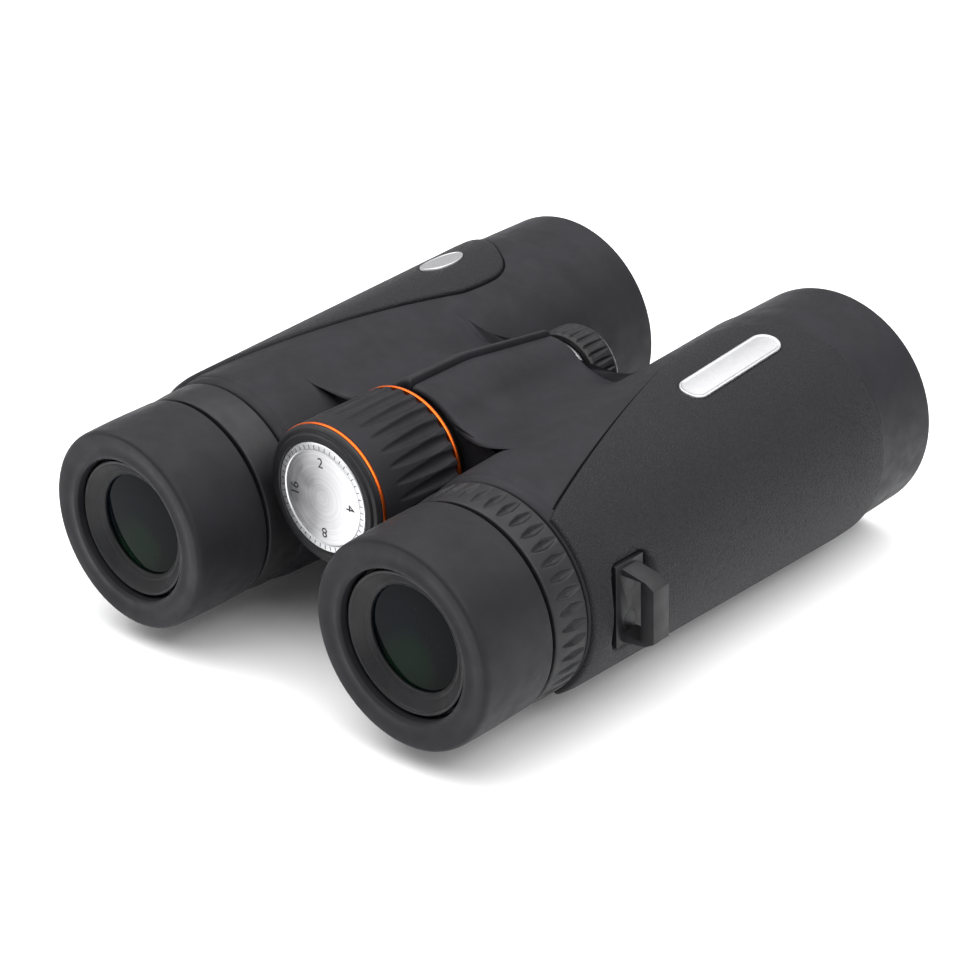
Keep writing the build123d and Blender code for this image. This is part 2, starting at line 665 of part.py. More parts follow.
def half_penta_points():
    """Side view of the half-penta prism, as (station, height) from its entry face's middle."""
    side = PRISM_APERTURE
    steep, shallow = math.radians(45), math.radians(22.5)
    mirror_run, exit_run = PRISM_MIRROR_RUN * side, PRISM_EXIT_RUN * side
    return [
        (0, side / 2),
        (0, -side / 2),
        (mirror_run * math.cos(shallow), -side / 2 - mirror_run * math.sin(shallow)),
        (exit_run * math.cos(steep), side / 2 - exit_run * math.sin(steep)),
    ]


def roof_prism_points():
    """Side view of the roof prism, whose entry face lies along the first prism's exit face."""
    entry, exit_corner = half_penta_points()[0], half_penta_points()[3]
    shift = PRISM_AIR_GAP * math.sqrt(2)
    top = PRISM_ROOF_HEIGHT * PRISM_APERTURE
    back = exit_corner[0] + shift + PRISM_BACK_MARGIN
    slope = math.tan(math.radians(22.5))
    start = (entry[0] + shift, entry[1])
    return [
        start,
        (back, entry[1] - (back - shift)),
        (back, top),
        (start[0] + (top - start[1]) / slope, top),
    ]


def prism_block(points, width):
    """Prism of a given width across X, from its side view."""
    moved = [(PRISM_REAR + station, height) for station, height in points]
    return extrude(Plane.YZ * make_face(Polyline(*moved, close=True)), amount=width / 2, both=True)


def half_penta_prism():
    """First prism of the erecting pair."""
    return prism_block(half_penta_points(), PRISM_APERTURE)


def roof_prism():
    """Second prism, with its two roof faces meeting in a ridge along the top."""
    points = roof_prism_points()
    body = prism_block(points, PRISM_APERTURE)
    ridge = PRISM_ROOF_HEIGHT * PRISM_APERTURE
    roof = [(-FAR, ridge - FAR), (0, ridge), (FAR, ridge - FAR)]
    return body & bar(roof, 0, LENGTH)


def prism_front():
    """Station of the roof prism's exit face."""
    return PRISM_REAR + roof_prism_points()[1][0]


def prism_cage():
    """Cage that holds both prisms between two end plates, with a round window in each."""
    rear, front = PRISM_REAR, prism_front()
    outer = INNER_BORE
    inner = outer - CAGE_WALL
    return turned(
        (CAGE_WINDOW, rear - CAGE_PLATE),
        (outer, rear - CAGE_PLATE),
        (outer, front + CAGE_PLATE),
        (CAGE_WINDOW, front + CAGE_PLATE),
        (CAGE_WINDOW, front),
        (inner, front),
        (inner, rear),
        (CAGE_WINDOW, rear),
    )


def focus_cell():
    """Sliding cell of the focusing lens, with the arm that reaches the follower's groove."""
    front = FOCUS_CELL_REAR + FOCUS_CELL_LENGTH
    cell = ring(FOCUS_CELL_REAR, front, FOCUS_CELL_RADIUS - FOCUS_CELL_WALL, FOCUS_CELL_RADIUS)
    tip = HINGE_REACH - (FOLLOWER_RADIUS - GROOVE_DEPTH + ARM_TIP_CLEARANCE)
    half_width = GROOVE_WIDTH / 2 - BODY_GAP
    span = (GROOVE_STATION - half_width, GROOVE_STATION + half_width)
    root = FOCUS_CELL_RADIUS - FOCUS_CELL_WALL / 2
    arm = block((-tip, -root), span, (-ARM_HALF_HEIGHT, ARM_HALF_HEIGHT))
    return cell + Rot(0, ARM_DEG, 0) * arm


def focus_lens():
    """Focusing lens in its sliding cell."""
    radius = FOCUS_CELL_RADIUS - FOCUS_CELL_WALL
    rear = FOCUS_CELL_REAR + FOCUS_LENS_INSET
    return lens(radius, rear, rear + FOCUS_LENS_EDGE, FOCUS_LENS_REAR_SAG, -FOCUS_LENS_FRONT_SAG)


# ---- eyepiece ------------------------------------------------------------------------------
def eyepiece_housing(has_slot):
    """Eyepiece housing: conical rear ring, lens bores, collar, field stop and spigot."""
    spigot_front = ARMOUR_REAR + SPIGOT_LENGTH
    housing = turned(
        (HOUSING_RADIUS, HOUSING_REAR),
        (HOUSING_RADIUS, COLLAR_REAR),
        (COLLAR_RADIUS, COLLAR_REAR),
        (COLLAR_RADIUS, ARMOUR_REAR),
        (SPIGOT_RADIUS, ARMOUR_REAR),
        (SPIGOT_RADIUS, spigot_front),
        (FIELD_BORE, spigot_front),
        (FIELD_BORE, FIELD_STOP_STATION + FIELD_STOP_LENGTH),
        (FIELD_STOP_RADIUS, FIELD_STOP_STATION + FIELD_STOP_LENGTH),
        (FIELD_STOP_RADIUS, FIELD_STOP_STATION),
        (FIELD_BORE, FIELD_STOP_STATION),
        (FIELD_BORE, FIELD_BORE_REAR),
        (EYE_BORE, FIELD_BORE_REAR),
        (EYE_BORE, EYE_SEAT),
        (EYE_APERTURE, EYE_SEAT),
        (EYE_APERTURE, HOUSING_REAR + EYE_CONE_DEPTH),
        (HOUSING_RADIUS - HOUSING_LAND, HOUSING_REAR),
    )
    if has_slot:
        middle = FIELD_CELL_REAR + FIELD_CELL_LENGTH / 2
        reach = DIOPTRE_TRAVEL + DIOPTRE_PIN_RADIUS + BODY_GAP
        half = DIOPTRE_PIN_RADIUS + BODY_GAP
        slot = block((FIELD_BORE - OVERCUT, FAR), (middle - reach, middle + reach), (-half, half))
        housing = housing - slot
    return housing


def eye_lens():
    """Lens nearest the eye."""
    rear = EYE_SEAT + RUNNING_FIT
    return lens(EYE_BORE, rear, EYE_SEAT + EYE_LENS_EDGE, -EYE_LENS_REAR_SAG, EYE_LENS_SAG)


def middle_lens():
    """Second eyepiece lens, seated against the first."""
    rear = EYE_SEAT + EYE_LENS_EDGE + EYE_LENS_SAG + MIDDLE_LENS_SAG + EYE_LENS_SPACE
    return lens(EYE_BORE, rear, rear + MIDDLE_LENS_EDGE, -MIDDLE_LENS_SAG, MIDDLE_LENS_SAG)


def dioptre_cell():
    """Sliding cell of the adjustable field lens, with the pin that the dioptre ring drives."""
    outer = FIELD_BORE - RUNNING_FIT
    front = FIELD_CELL_REAR + FIELD_CELL_LENGTH
    cell = ring(FIELD_CELL_REAR, front, outer - CELL_RING_WALL, outer)
    tip = COLLAR_RADIUS - BODY_GAP
    root = outer - CELL_RING_WALL / 2
    pin = Pos((tip + root) / 2, (FIELD_CELL_REAR + front) / 2, 0) * (
        Rot(0, 90, 0) * Cylinder(DIOPTRE_PIN_RADIUS, tip - root)
    )
    return cell + pin


def dioptre_lens():
    """Adjustable field lens."""
    return field_lens(FIELD_BORE - RUNNING_FIT - CELL_RING_WALL)


def field_lens(radius):
    """Field lens of an eyepiece."""
    rear = FIELD_CELL_REAR + FIELD_LENS_INSET
    front = rear + FIELD_LENS_EDGE
    return lens(radius, rear, front, -FIELD_LENS_REAR_SAG, FIELD_LENS_FRONT_SAG)


def rotating_ring(clearance):
    """Ring behind the armour: it turns on the collar, or is fixed there with no clearance."""
    inner = COLLAR_RADIUS + clearance
    front = RING_REAR + RING_LENGTH
    return turned(
        (inner, RING_REAR),
        (RING_RADIUS - RING_TAPER - EDGE_BREAK, RING_REAR),
        (RING_RADIUS - RING_TAPER, RING_REAR + EDGE_BREAK),
        (RING_RADIUS, front),
        (inner, front),
    )


def dioptre_ring():
    """Ribbed ring that sets the right eyepiece."""
    rear, front = RING_REAR + POCKET_INSET, RING_REAR + RING_LENGTH + OVERCUT
    centre = RING_RADIUS - POCKET_DEPTH + POCKET_RADIUS
    pocket = Pos(centre, 0, 0) * rod(rear, front, POCKET_RADIUS)
    return rotating_ring(RUNNING_FIT) - around(DIOPTRE_POCKETS, pocket)


def eyecup_core():
    """Stiff sleeve of the eyecup, with a flange under the soft ring's face."""
    outer = EYECUP_CORE_RADIUS
    inner = outer - EYECUP_CORE_WALL
    return turned(
        (EYECUP_HOLE, EYECUP_FACE),
        (outer, EYECUP_FACE),
        (outer, EYECUP_LENGTH - EDGE_BREAK),
        (inner, EYECUP_LENGTH - EDGE_BREAK),
        (inner, GUIDE_REAR - BODY_GAP),
        (EYECUP_HOLE, GUIDE_REAR - BODY_GAP),
    )


def eyecup_rubber():
    """Soft ring of the eyecup: side wall and flat face, with a rounded edge."""
    side = EYECUP_RADIUS - EYECUP_TAPER
    inner = EYECUP_CORE_RADIUS
    knee = EYECUP_ROUND * (1 - math.sqrt(0.5))
    return turned(
        (EYECUP_HOLE, EDGE_BREAK),
        (EYECUP_HOLE + EDGE_BREAK, 0),
        (side - EYECUP_ROUND, 0),
        (side - knee, knee),
        (side, EYECUP_ROUND),
        (EYECUP_RADIUS, EYECUP_LENGTH / 2),
        (EYECUP_RADIUS, EYECUP_LENGTH - EDGE_BREAK),
        (EYECUP_RADIUS - EDGE_BREAK, EYECUP_LENGTH),
        (inner + EDGE_BREAK / 2, EYECUP_LENGTH),
        (inner, EYECUP_LENGTH - EDGE_BREAK),
        (inner, EYECUP_FACE),
        (EYECUP_HOLE, EYECUP_FACE),
    )


def eyecup_guide():
    """Ring that slides on the housing and that the eyecup turns round."""
    inner = HOUSING_RADIUS + RUNNING_FIT
    return ring(GUIDE_REAR, GUIDE_REAR + GUIDE_LENGTH, inner, GUIDE_RADIUS)


# ---- hinge ---------------------------------------------------------------------------------
def hinge_tube():
    """Tube that the halves turn about, with slots for both focusing arms."""
    tube = TO_HINGE * ring(HINGE_TUBE_REAR, TRIPOD_FLANGE_REAR, HINGE_TUBE_BORE, HINGE_TUBE_RADIUS)
    return tube - arm_room() - arm_sweep()


def hinge_bushes():
    """Two flanged bushes of the outer knuckles."""
    rear = turned(
        (BUSH_BORE, KNUCKLE_REAR - BUSH_FLANGE),
        (BUSH_FLANGE_RADIUS, KNUCKLE_REAR - BUSH_FLANGE),
        (BUSH_FLANGE_RADIUS, KNUCKLE_REAR),
        (BUSH_RADIUS, KNUCKLE_REAR),
        (BUSH_RADIUS, CENTRE_REAR - BODY_GAP),
        (BUSH_BORE, CENTRE_REAR - BODY_GAP),
    )
    front = turned(
        (BUSH_BORE, KNUCKLE_FRONT + BUSH_FLANGE),
        (BUSH_FLANGE_RADIUS, KNUCKLE_FRONT + BUSH_FLANGE),
        (BUSH_FLANGE_RADIUS, KNUCKLE_FRONT),
        (BUSH_RADIUS, KNUCKLE_FRONT),
        (BUSH_RADIUS, CENTRE_FRONT + BODY_GAP),
        (BUSH_BORE, CENTRE_FRONT + BODY_GAP),
    )
    return TO_HINGE * Compound([rear, front])


def hinge_nut():
    """Ring nut on the rear end of the hinge tube, with four spanner notches."""
    front = KNUCKLE_REAR - BUSH_FLANGE - BODY_GAP
    nut = ring(front - NUT_LENGTH, front, HINGE_TUBE_RADIUS, NUT_RADIUS)
    notch = block(
        (NUT_RADIUS - NUT_NOTCH_DEPTH, NUT_RADIUS + OVERCUT),
        (front - NUT_LENGTH - OVERCUT, front + OVERCUT),
        (-NUT_NOTCH_HALF_WIDTH, NUT_NOTCH_HALF_WIDTH),
    )
    return TO_HINGE * (nut - around(NUT_NOTCHES, notch))


def tripod_bushing():
    """Threaded bushing in the front of the hinge tube: plug, flange, boss and tripod socket."""
    plug_rear = TRIPOD_FLANGE_REAR - TRIPOD_PLUG_LENGTH
    bushing = turned(
        (0, plug_rear),
        (HINGE_TUBE_BORE, plug_rear),
        (HINGE_TUBE_BORE, TRIPOD_FLANGE_REAR),
        (TRIPOD_FLANGE_RADIUS, TRIPOD_FLANGE_REAR),
        (TRIPOD_FLANGE_RADIUS, TRIPOD_BOSS_REAR),
        (TRIPOD_BOSS_RADIUS, TRIPOD_BOSS_REAR),
        (TRIPOD_BOSS_RADIUS, TRIPOD_MOUTH),
        (0, TRIPOD_MOUTH),
    )
    mouth = TRIPOD_MOUTH + OVERCUT
    socket = rod(TRIPOD_MOUTH - TRIPOD_SOCKET_DEPTH, mouth, TRIPOD_SOCKET_RADIUS)
    return TO_HINGE * (bushing - socket)


def tripod_cap():
    """Ribbed cap that screws over the boss and covers the tripod socket."""
    front = CAP_REAR + CAP_LENGTH
    bore = TRIPOD_BOSS_RADIUS + RUNNING_FIT
    cap = turned(
        (bore, CAP_REAR),
        (CAP_RADIUS - EDGE_BREAK, CAP_REAR),
        (CAP_RADIUS, CAP_REAR + EDGE_BREAK),
        (CAP_RADIUS, front - CAP_ROUND),
        (CAP_RADIUS - 0.3 * CAP_ROUND, front - 0.4 * CAP_ROUND),
        (CAP_RADIUS - CAP_ROUND, front),
        (0, front),
        (0, front - CAP_FACE),
        (bore, front - CAP_FACE),
    )
    centre = CAP_RADIUS - CAP_GROOVE_DEPTH + CAP_GROOVE_RADIUS
    span = (CAP_REAR + CAP_GROOVE_INSET, front - CAP_GROOVE_INSET)
    groove = Pos(centre, 0, 0) * rod(*span, CAP_GROOVE_RADIUS)
    return TO_HINGE * (cap - around(CAP_RIBS, groove))


# ---- focusing drive ------------------------------------------------------------------------
def focus_spindle():
    """Threaded spindle that the knob turns."""
    return TO_HINGE * rod(SPINDLE_REAR, SPINDLE_FRONT, SPINDLE_RADIUS)


def spindle_bearing():
    """Bush in the hinge tube that carries the spindle."""
    rear = HINGE_TUBE_REAR + BODY_GAP
    bush = ring(rear, rear + SPINDLE_BEARING_LENGTH, SPINDLE_RADIUS + RUNNING_FIT, HINGE_TUBE_BORE)
    return TO_HINGE * bush


def spindle_circlip():
    """Split clip on the spindle, just in front of its bearing."""
    rear = HINGE_TUBE_REAR + BODY_GAP + SPINDLE_BEARING_LENGTH + BODY_GAP
    front = rear + CIRCLIP_THICKNESS
    clip = ring(rear, front, SPINDLE_RADIUS, CIRCLIP_RADIUS)
    split = block(
        (SPINDLE_RADIUS - OVERCUT, CIRCLIP_RADIUS + OVERCUT),
        (rear - OVERCUT, front + OVERCUT),
        (-CIRCLIP_HALF_SPLIT, CIRCLIP_HALF_SPLIT),
    )
    return TO_HINGE * (clip - split)


def focus_follower():
    """Nut on the spindle's thread, with the groove that both focusing arms ride in."""
    rear, front = FOLLOWER_REAR, FOLLOWER_REAR + FOLLOWER_LENGTH
    groove_rear = GROOVE_STATION - GROOVE_WIDTH / 2
    groove_front = GROOVE_STATION + GROOVE_WIDTH / 2
    waist = FOLLOWER_RADIUS - GROOVE_DEPTH
    bore = SPINDLE_RADIUS + RUNNING_FIT
    return TO_HINGE * turned(
        (bore, rear),
        (FOLLOWER_RADIUS, rear),
        (FOLLOWER_RADIUS, groove_rear),
        (waist, groove_rear),
        (waist, groove_front),
        (FOLLOWER_RADIUS, groove_front),
        (FOLLOWER_RADIUS, front),
        (bore, front),
    )


# ---- focus knob ----------------------------------------------------------------------------
def knob_hub():
    """Knob's core: stepped rim, drum under the grip, and the boss on the spindle."""
    rim_front = KNOB_REAR + KNOB_RIM
    floor = KNOB_REAR + DISC_THICKNESS
    hub = turned(
        (0, floor),
        (DISC_RADIUS, floor),
        (DISC_RADIUS, KNOB_REAR + EDGE_BREAK),
        (DISC_RADIUS + EDGE_BREAK, KNOB_REAR),
        (DISC_RADIUS + EDGE_BREAK + KNOB_STEP, KNOB_REAR),
        (KNOB_RADIUS - KNOB_STEP, rim_front),
        (KNOB_GRIP_RADIUS, rim_front),
        (KNOB_GRIP_RADIUS, KNOB_FRONT),
        (KNOB_GRIP_RADIUS - KNOB_WALL, KNOB_FRONT),
        (KNOB_GRIP_RADIUS - KNOB_WALL, floor + KNOB_FACE),
        (KNOB_BOSS_RADIUS, floor + KNOB_FACE),
        (KNOB_BOSS_RADIUS, KNOB_FRONT - KNOB_BOSS_INSET),
        (0, KNOB_FRONT - KNOB_BOSS_INSET),
    )
    return TO_HINGE * (hub - rod(SPINDLE_REAR, KNOB_FRONT, SPINDLE_RADIUS))


def accent_ring(rear):
    """Thin anodised ring round the knob."""
    front = rear + ACCENT_WIDTH
    return TO_HINGE * turned(
        (KNOB_GRIP_RADIUS, rear),
        (KNOB_RADIUS - ACCENT_BREAK, rear),
        (KNOB_RADIUS, rear + ACCENT_BREAK),
        (KNOB_RADIUS, front - ACCENT_BREAK),
        (KNOB_RADIUS - ACCENT_BREAK, front),
        (KNOB_GRIP_RADIUS, front),
    )


def knob_grip():
    """Rubber sleeve of the knob, with flutes over its front part."""
    rear = KNOB_REAR + KNOB_RIM + ACCENT_WIDTH
    front = KNOB_FRONT - KNOB_FRONT_BAND - ACCENT_WIDTH
    sleeve = turned(
        (KNOB_GRIP_RADIUS, rear),
        (KNOB_RADIUS - EDGE_BREAK, rear),
        (KNOB_RADIUS, rear + EDGE_BREAK),
        (KNOB_RADIUS, front - EDGE_BREAK),
        (KNOB_RADIUS - EDGE_BREAK, front),
        (KNOB_GRIP_RADIUS, front),
    )
    centre = KNOB_RADIUS - FLUTE_DEPTH + FLUTE_RADIUS
    flute = Pos(centre, 0, 0) * rod(FLUTE_REAR, front - 2 * EDGE_BREAK, FLUTE_RADIUS)
    return TO_HINGE * (sleeve - around(KNOB_FLUTES, flute))


def front_band():
    """Narrow locking ring in front of the second accent ring."""
    rear = KNOB_FRONT - KNOB_FRONT_BAND
    return TO_HINGE * ring(rear, KNOB_FRONT, KNOB_GRIP_RADIUS, KNOB_RADIUS - EDGE_BREAK)


def knob_disc():
    """Silver disc in the knob's rear face."""
    rear, front = KNOB_REAR, KNOB_REAR + DISC_THICKNESS
    return TO_HINGE * turned(
        (0, rear),
        (DISC_RADIUS - EDGE_BREAK, rear),
        (DISC_RADIUS, rear + EDGE_BREAK),
        (DISC_RADIUS, front),
        (0, front),
    )


# ---- writing the pieces --------------------------------------------------------------------
def save(name, shape):
    """Write one piece in the object's own frame."""
    export_step(TO_ROW_FRAME * shape, f"parts/{name}.step")


def save_pair(name, shape):
    """Write a barrel piece for the right half, and its mirror image for the left half."""
    placed = TO_RIGHT_BARREL * shape
    save(f"right_{name}", placed)
    save(f"left_{name}", mirror(placed, about=Plane.YZ))


def main():
    """Build and write every piece."""
    save("right_body_tube", casting(True))
    save("left_body_tube", mirror(casting(False), about=Plane.YZ))
    save("right_armour", armour(True))
    save("left_armour", mirror(armour(False), about=Plane.YZ))
    save("right_grip_panel", TO_RIGHT_BARREL * grip_panel(name_plate(RUNNING_FIT)))
    left_panel = TO_RIGHT_BARREL * grip_panel(badge(RUNNING_FIT))
    save("left_grip_panel", mirror(left_panel, about=Plane.YZ))
    save("right_name_plate", TO_RIGHT_BARREL * name_plate())
    save("left_badge", mirror(TO_RIGHT_BARREL * badge(), about=Plane.YZ))
    save_pair("strap_lug", strap_lug())
    save_pair("lug_screws", lug_screws())

    save_pair("objective_crown", objective_crown())
    save_pair("objective_flint", objective_flint())
    save_pair("objective_ring", objective_ring())
    save_pair("prism_cage", prism_cage())
    save_pair("roof_prism", roof_prism())
    save_pair("half_penta_prism", half_penta_prism())
    save_pair("focus_cell", focus_cell())
    save_pair("focus_lens", focus_lens())

    save("right_eyepiece_housing", TO_RIGHT_BARREL * eyepiece_housing(True))
    save("left_eyepiece_housing", mirror(TO_RIGHT_BARREL * eyepiece_housing(False), about=Plane.YZ))
    save_pair("eye_lens", eye_lens())
    save_pair("middle_lens", middle_lens())
    save_pair("eyecup_guide", eyecup_guide())
    save_pair("eyecup_core", eyecup_core())
    save_pair("eyecup_rubber", eyecup_rubber())
    save("dioptre_ring", TO_RIGHT_BARREL * dioptre_ring())
    save("dioptre_cell", TO_RIGHT_BARREL * dioptre_cell())
    save("dioptre_lens", TO_RIGHT_BARREL * dioptre_lens())
    save("left_field_lens", mirror(TO_RIGHT_BARREL * field_lens(FIELD_BORE), about=Plane.YZ))
    save("left_fixed_ring", mirror(TO_RIGHT_BARREL * rotating_ring(0), about=Plane.YZ))

    save("hinge_tube", hinge_tube())
    save("hinge_bushes", hinge_bushes())
    save("hinge_nut", hinge_nut())
    save("tripod_bushing", tripod_bushing())
    save("tripod_cap", tripod_cap())

    save("focus_spindle", focus_spindle())
    save("spindle_bearing", spindle_bearing())
    save("spindle_circlip", spindle_circlip())
    save("focus_follower", focus_follower())
    save("knob_hub", knob_hub())
    save("knob_grip", knob_grip())
    save("knob_disc", knob_disc())
    save("knob_ring_eyepiece_end", accent_ring(KNOB_REAR + KNOB_RIM))
    save("knob_ring_bridge_end", accent_ring(KNOB_FRONT - KNOB_FRONT_BAND - ACCENT_WIDTH))
    save("knob_lock_ring", front_band())


main()
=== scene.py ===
import json
import math

import bmesh
import bpy
import numpy as np
from bpy.props import FloatProperty, FloatVectorProperty, IntProperty, PointerProperty
from mathutils import Matrix, Vector
from mathutils.geometry import delaunay_2d_cdt


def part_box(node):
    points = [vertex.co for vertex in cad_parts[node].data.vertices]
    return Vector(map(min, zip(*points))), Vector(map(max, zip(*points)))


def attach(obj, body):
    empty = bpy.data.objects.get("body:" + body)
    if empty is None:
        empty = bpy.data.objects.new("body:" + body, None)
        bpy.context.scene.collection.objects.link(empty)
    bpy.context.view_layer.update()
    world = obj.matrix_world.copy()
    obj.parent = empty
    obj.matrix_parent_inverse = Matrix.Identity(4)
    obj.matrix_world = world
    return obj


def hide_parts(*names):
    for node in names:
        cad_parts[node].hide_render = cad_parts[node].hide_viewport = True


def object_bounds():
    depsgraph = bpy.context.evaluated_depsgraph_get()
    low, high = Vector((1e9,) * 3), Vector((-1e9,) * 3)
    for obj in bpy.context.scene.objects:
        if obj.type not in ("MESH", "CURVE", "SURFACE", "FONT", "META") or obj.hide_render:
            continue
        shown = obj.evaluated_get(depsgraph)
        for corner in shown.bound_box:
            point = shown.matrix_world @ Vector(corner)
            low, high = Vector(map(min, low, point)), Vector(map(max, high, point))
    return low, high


bl_info = {
    "name": "Astronomy Binoculars",
    "version": (1, 0, 0),
    "blender": (4, 5, 0),
    "location": "View3D > Sidebar > Binoculars",
    "description": "Builds the rubber, metal and glass surfaces of a pair of binoculars",
    "category": "Object",
}

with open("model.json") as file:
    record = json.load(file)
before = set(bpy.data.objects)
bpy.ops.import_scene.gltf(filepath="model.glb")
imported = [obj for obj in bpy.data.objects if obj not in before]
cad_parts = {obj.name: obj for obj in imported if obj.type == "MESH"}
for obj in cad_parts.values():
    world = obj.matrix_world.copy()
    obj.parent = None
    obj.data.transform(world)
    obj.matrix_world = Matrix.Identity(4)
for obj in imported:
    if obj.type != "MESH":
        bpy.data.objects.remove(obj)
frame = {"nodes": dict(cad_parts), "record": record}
CAD_BOX = [list(corner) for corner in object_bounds()]
NODES = frame["nodes"]
MM = 0.001


def centre_of(node):
    """Middle of a CAD node's box, in millimetres."""
    low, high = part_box(node)
    return (low + high) / 2 / MM


CUP_CENTRE = centre_of("right_eyecup_rubber")
HALF_SPACING = round(CUP_CENTRE.x, 3)
AXIS_HEIGHT = round(CUP_CENTRE.z, 3)
HINGE_Z = round(centre_of("knob_disc").z - CUP_CENTRE.z, 3)
LENGTH = round((CAD_BOX[1][1] - CAD_BOX[0][1]) / MM, 3)
SIDES = (("right", 1), ("left", -1))
UNROLLED_RADIUS = 24.0


# ---- sizes and colours ---------------------------------------------------------------------
def length(name, description, millimetres):
    """Length property, shown in the scene's unit."""
    return FloatProperty(
        name=name, description=description, default=millimetres * MM, unit="LENGTH", precision=4
    )


def colour(name, description, red, green, blue):
    """Colour property."""
    return FloatVectorProperty(
        name=name, description=description, default=(red, green, blue), subtype="COLOR", size=3,
        min=0, max=1,
    )


class BinocularSizes(bpy.types.PropertyGroup):
    """Sizes of the visible surfaces."""

    panel_proud: length("Panel height", "How far the grip panel stands above the armour", 0.7)
    panel_groove: length("Panel groove", "Gap between the grip panel and the armour", 0.4)
    edge_round: length("Edge rounding", "Rounding of moulded rubber edges", 0.8)
    lip_rise: length("Seam lip", "Height of the rounded lip along the hinge seam", 1.15)
    eyecup_round: length("Eyecup rounding", "Rounding of the eyecup's rear edge", 1.5)
    pocket_count: IntProperty(
        name="Dioptre pockets", description="Pockets round the dioptre ring", default=42
    )
    pocket_depth: length("Pocket depth", "Depth of the dioptre ring's pockets", 0.9)
    flute_count: IntProperty(
        name="Knob flutes", description="Flutes round the focus knob", default=28
    )
    flute_depth: length("Flute depth", "Depth of the focus knob's flutes", 0.95)
    rib_count: IntProperty(
        name="Cap grooves", description="Grooves round the tripod cap", default=30
    )
    rib_depth: length("Cap groove depth", "Depth of the tripod cap's grooves", 0.55)
    tick_count: IntProperty(
        name="Scale marks", description="Marks round the knob's disc", default=48
    )


class BinocularColours(bpy.types.PropertyGroup):
    """Colours of the finishes."""

    rubber: colour("Smooth rubber", "Armour", 0.0133, 0.0129, 0.0160)
    grip: colour("Grip rubber", "Textured panels", 0.0148, 0.0143, 0.0176)
    eyecup: colour("Eyecup rubber", "Soft-touch eyecups", 0.0120, 0.0116, 0.0142)
    plastic: colour("Black plastic", "Rings and housings", 0.0085, 0.0085, 0.0098)
    accent: colour("Accent", "Anodised rings on the knob", 0.80, 0.14, 0.02)
    silver: colour("Silver", "Disc, plate and badge", 0.78, 0.78, 0.80)
    # The lens tint stands for the unlit inside seen through the glass: a painted shade.
    glass: colour("Lens tint", "Depth colour of the coated lenses", 0.0016, 0.0030, 0.0036)
    backdrop: colour("Backdrop", "Floor under the object", 0.92, 0.92, 0.92)


def sizes():
    """The scene's size settings, in millimetres and counts."""
    group = bpy.context.scene.binocular_sizes
    values = {}
    for name in BinocularSizes.__annotations__:
        value = getattr(group, name)
        values[name] = value if isinstance(value, int) else value / MM
    return values


def tint(name):
    """One of the scene's colours, with full alpha."""
    return (*getattr(bpy.context.scene.binocular_colours, name), 1.0)


# ---- node trees ----------------------------------------------------------------------------
class Field:
    """An output socket whose arithmetic adds Math nodes to its tree."""

    def __init__(self, graph, socket):
        self.graph = graph
        self.socket = socket

    def math(self, operation, *others):
        sockets = {index: value for index, value in enumerate((self, *others))}
        return self.graph.add("ShaderNodeMath", {"operation": operation}, sockets)

    def __add__(self, other):
        return self.math("ADD", other)

    def __sub__(self, other):
        return self.math("SUBTRACT", other)

    def __mul__(self, other):
        return self.math("MULTIPLY", other)

    def __truediv__(self, other):
        return self.math("DIVIDE", other)

    def __neg__(self):
        return self.math("MULTIPLY", -1.0)

    def __radd__(self, other):
        return self.math("ADD", other)

    def __rmul__(self, other):
        return self.math("MULTIPLY", other)

    def __rsub__(self, other):
        return (-self).math("ADD", other)

    def step(self, low, high, start=0.0, end=1.0):
        """Smooth step of this value between two limits."""
        settings = {"interpolation_type": "SMOOTHSTEP"}
        sockets = {"Value": self, "From Min": low, "From Max": high, "To Min": start, "To Max": end}
        return self.graph.add("ShaderNodeMapRange", settings, sockets)


class Graph:
    """A node tree that nodes are added to."""

    def __init__(self, tree):
        self.tree = tree

    def add(self, kind, settings=None, sockets=None, output=0):
        """Add a node: its settings first, then the values or links of its sockets."""
        node = self.tree.nodes.new(kind)
        for name, value in (settings or {}).items():
            setattr(node, name, value)
        for name, value in (sockets or {}).items():
            socket = node.inputs[name]
            if isinstance(value, Field):
                self.tree.links.new(value.socket, socket)
            elif value is not None:
                socket.default_value = value
        if output is None:
            return node
        return Field(self, node.outputs[output])

    def outputs(self, kind, names, settings=None, sockets=None):
        """Add a node and return several of its outputs."""
        node = self.add(kind, settings, sockets, None)
        return [Field(self, node.outputs[name]) for name in names]


class Finish(Graph):
    """A material whose colour, roughness and relief are built from Object coordinates."""

    def __init__(self, name, **constants):
        self.material = bpy.data.materials.new(name)
        self.material.use_nodes = True
        super().__init__(self.material.node_tree)
        self.shader = self.tree.nodes["Principled BSDF"]
        for name_in_code, value in constants.items():
            socket = name_in_code.replace("_", " ").title().replace("Ior", "IOR")
            self.shader.inputs[socket].default_value = value
        self.place = self.add("ShaderNodeTexCoord", output="Object")

    def noise(self, per_metre, detail=3.0, roughness=0.55, place=None):
        """Noise value between 0 and 1, at a number of cells per metre."""
        sockets = {
            "Vector": place or self.place, "Scale": per_metre, "Detail": detail,
            "Roughness": roughness,
        }
        return self.add("ShaderNodeTexNoise", {}, sockets, "Fac")

    def blend(self, share, first, second):
        """Mix of two colours."""
        settings = {"data_type": "RGBA"}
        return self.add("ShaderNodeMix", settings, {0: share, 6: first, 7: second}, 2)

    def height(self, value, distance, strength=1.0, under=None):
        """Bump of a height value, over another bump if there is one."""
        sockets = {"Height": value, "Distance": distance, "Strength": strength, "Normal": under}
        return self.add("ShaderNodeBump", {}, sockets, "Normal")

    def drive(self, **sockets):
        """Link values that vary over the surface to the shader."""
        for name, value in sockets.items():
            self.tree.links.new(value.socket, self.shader.inputs[name.replace("_", " ").title()])
        return self.material


def shade(rgba, factor):
    """A colour made lighter or darker."""
    return (*[min(1.0, channel * factor) for channel in rgba[:3]], 1.0)


MATERIALS = {}


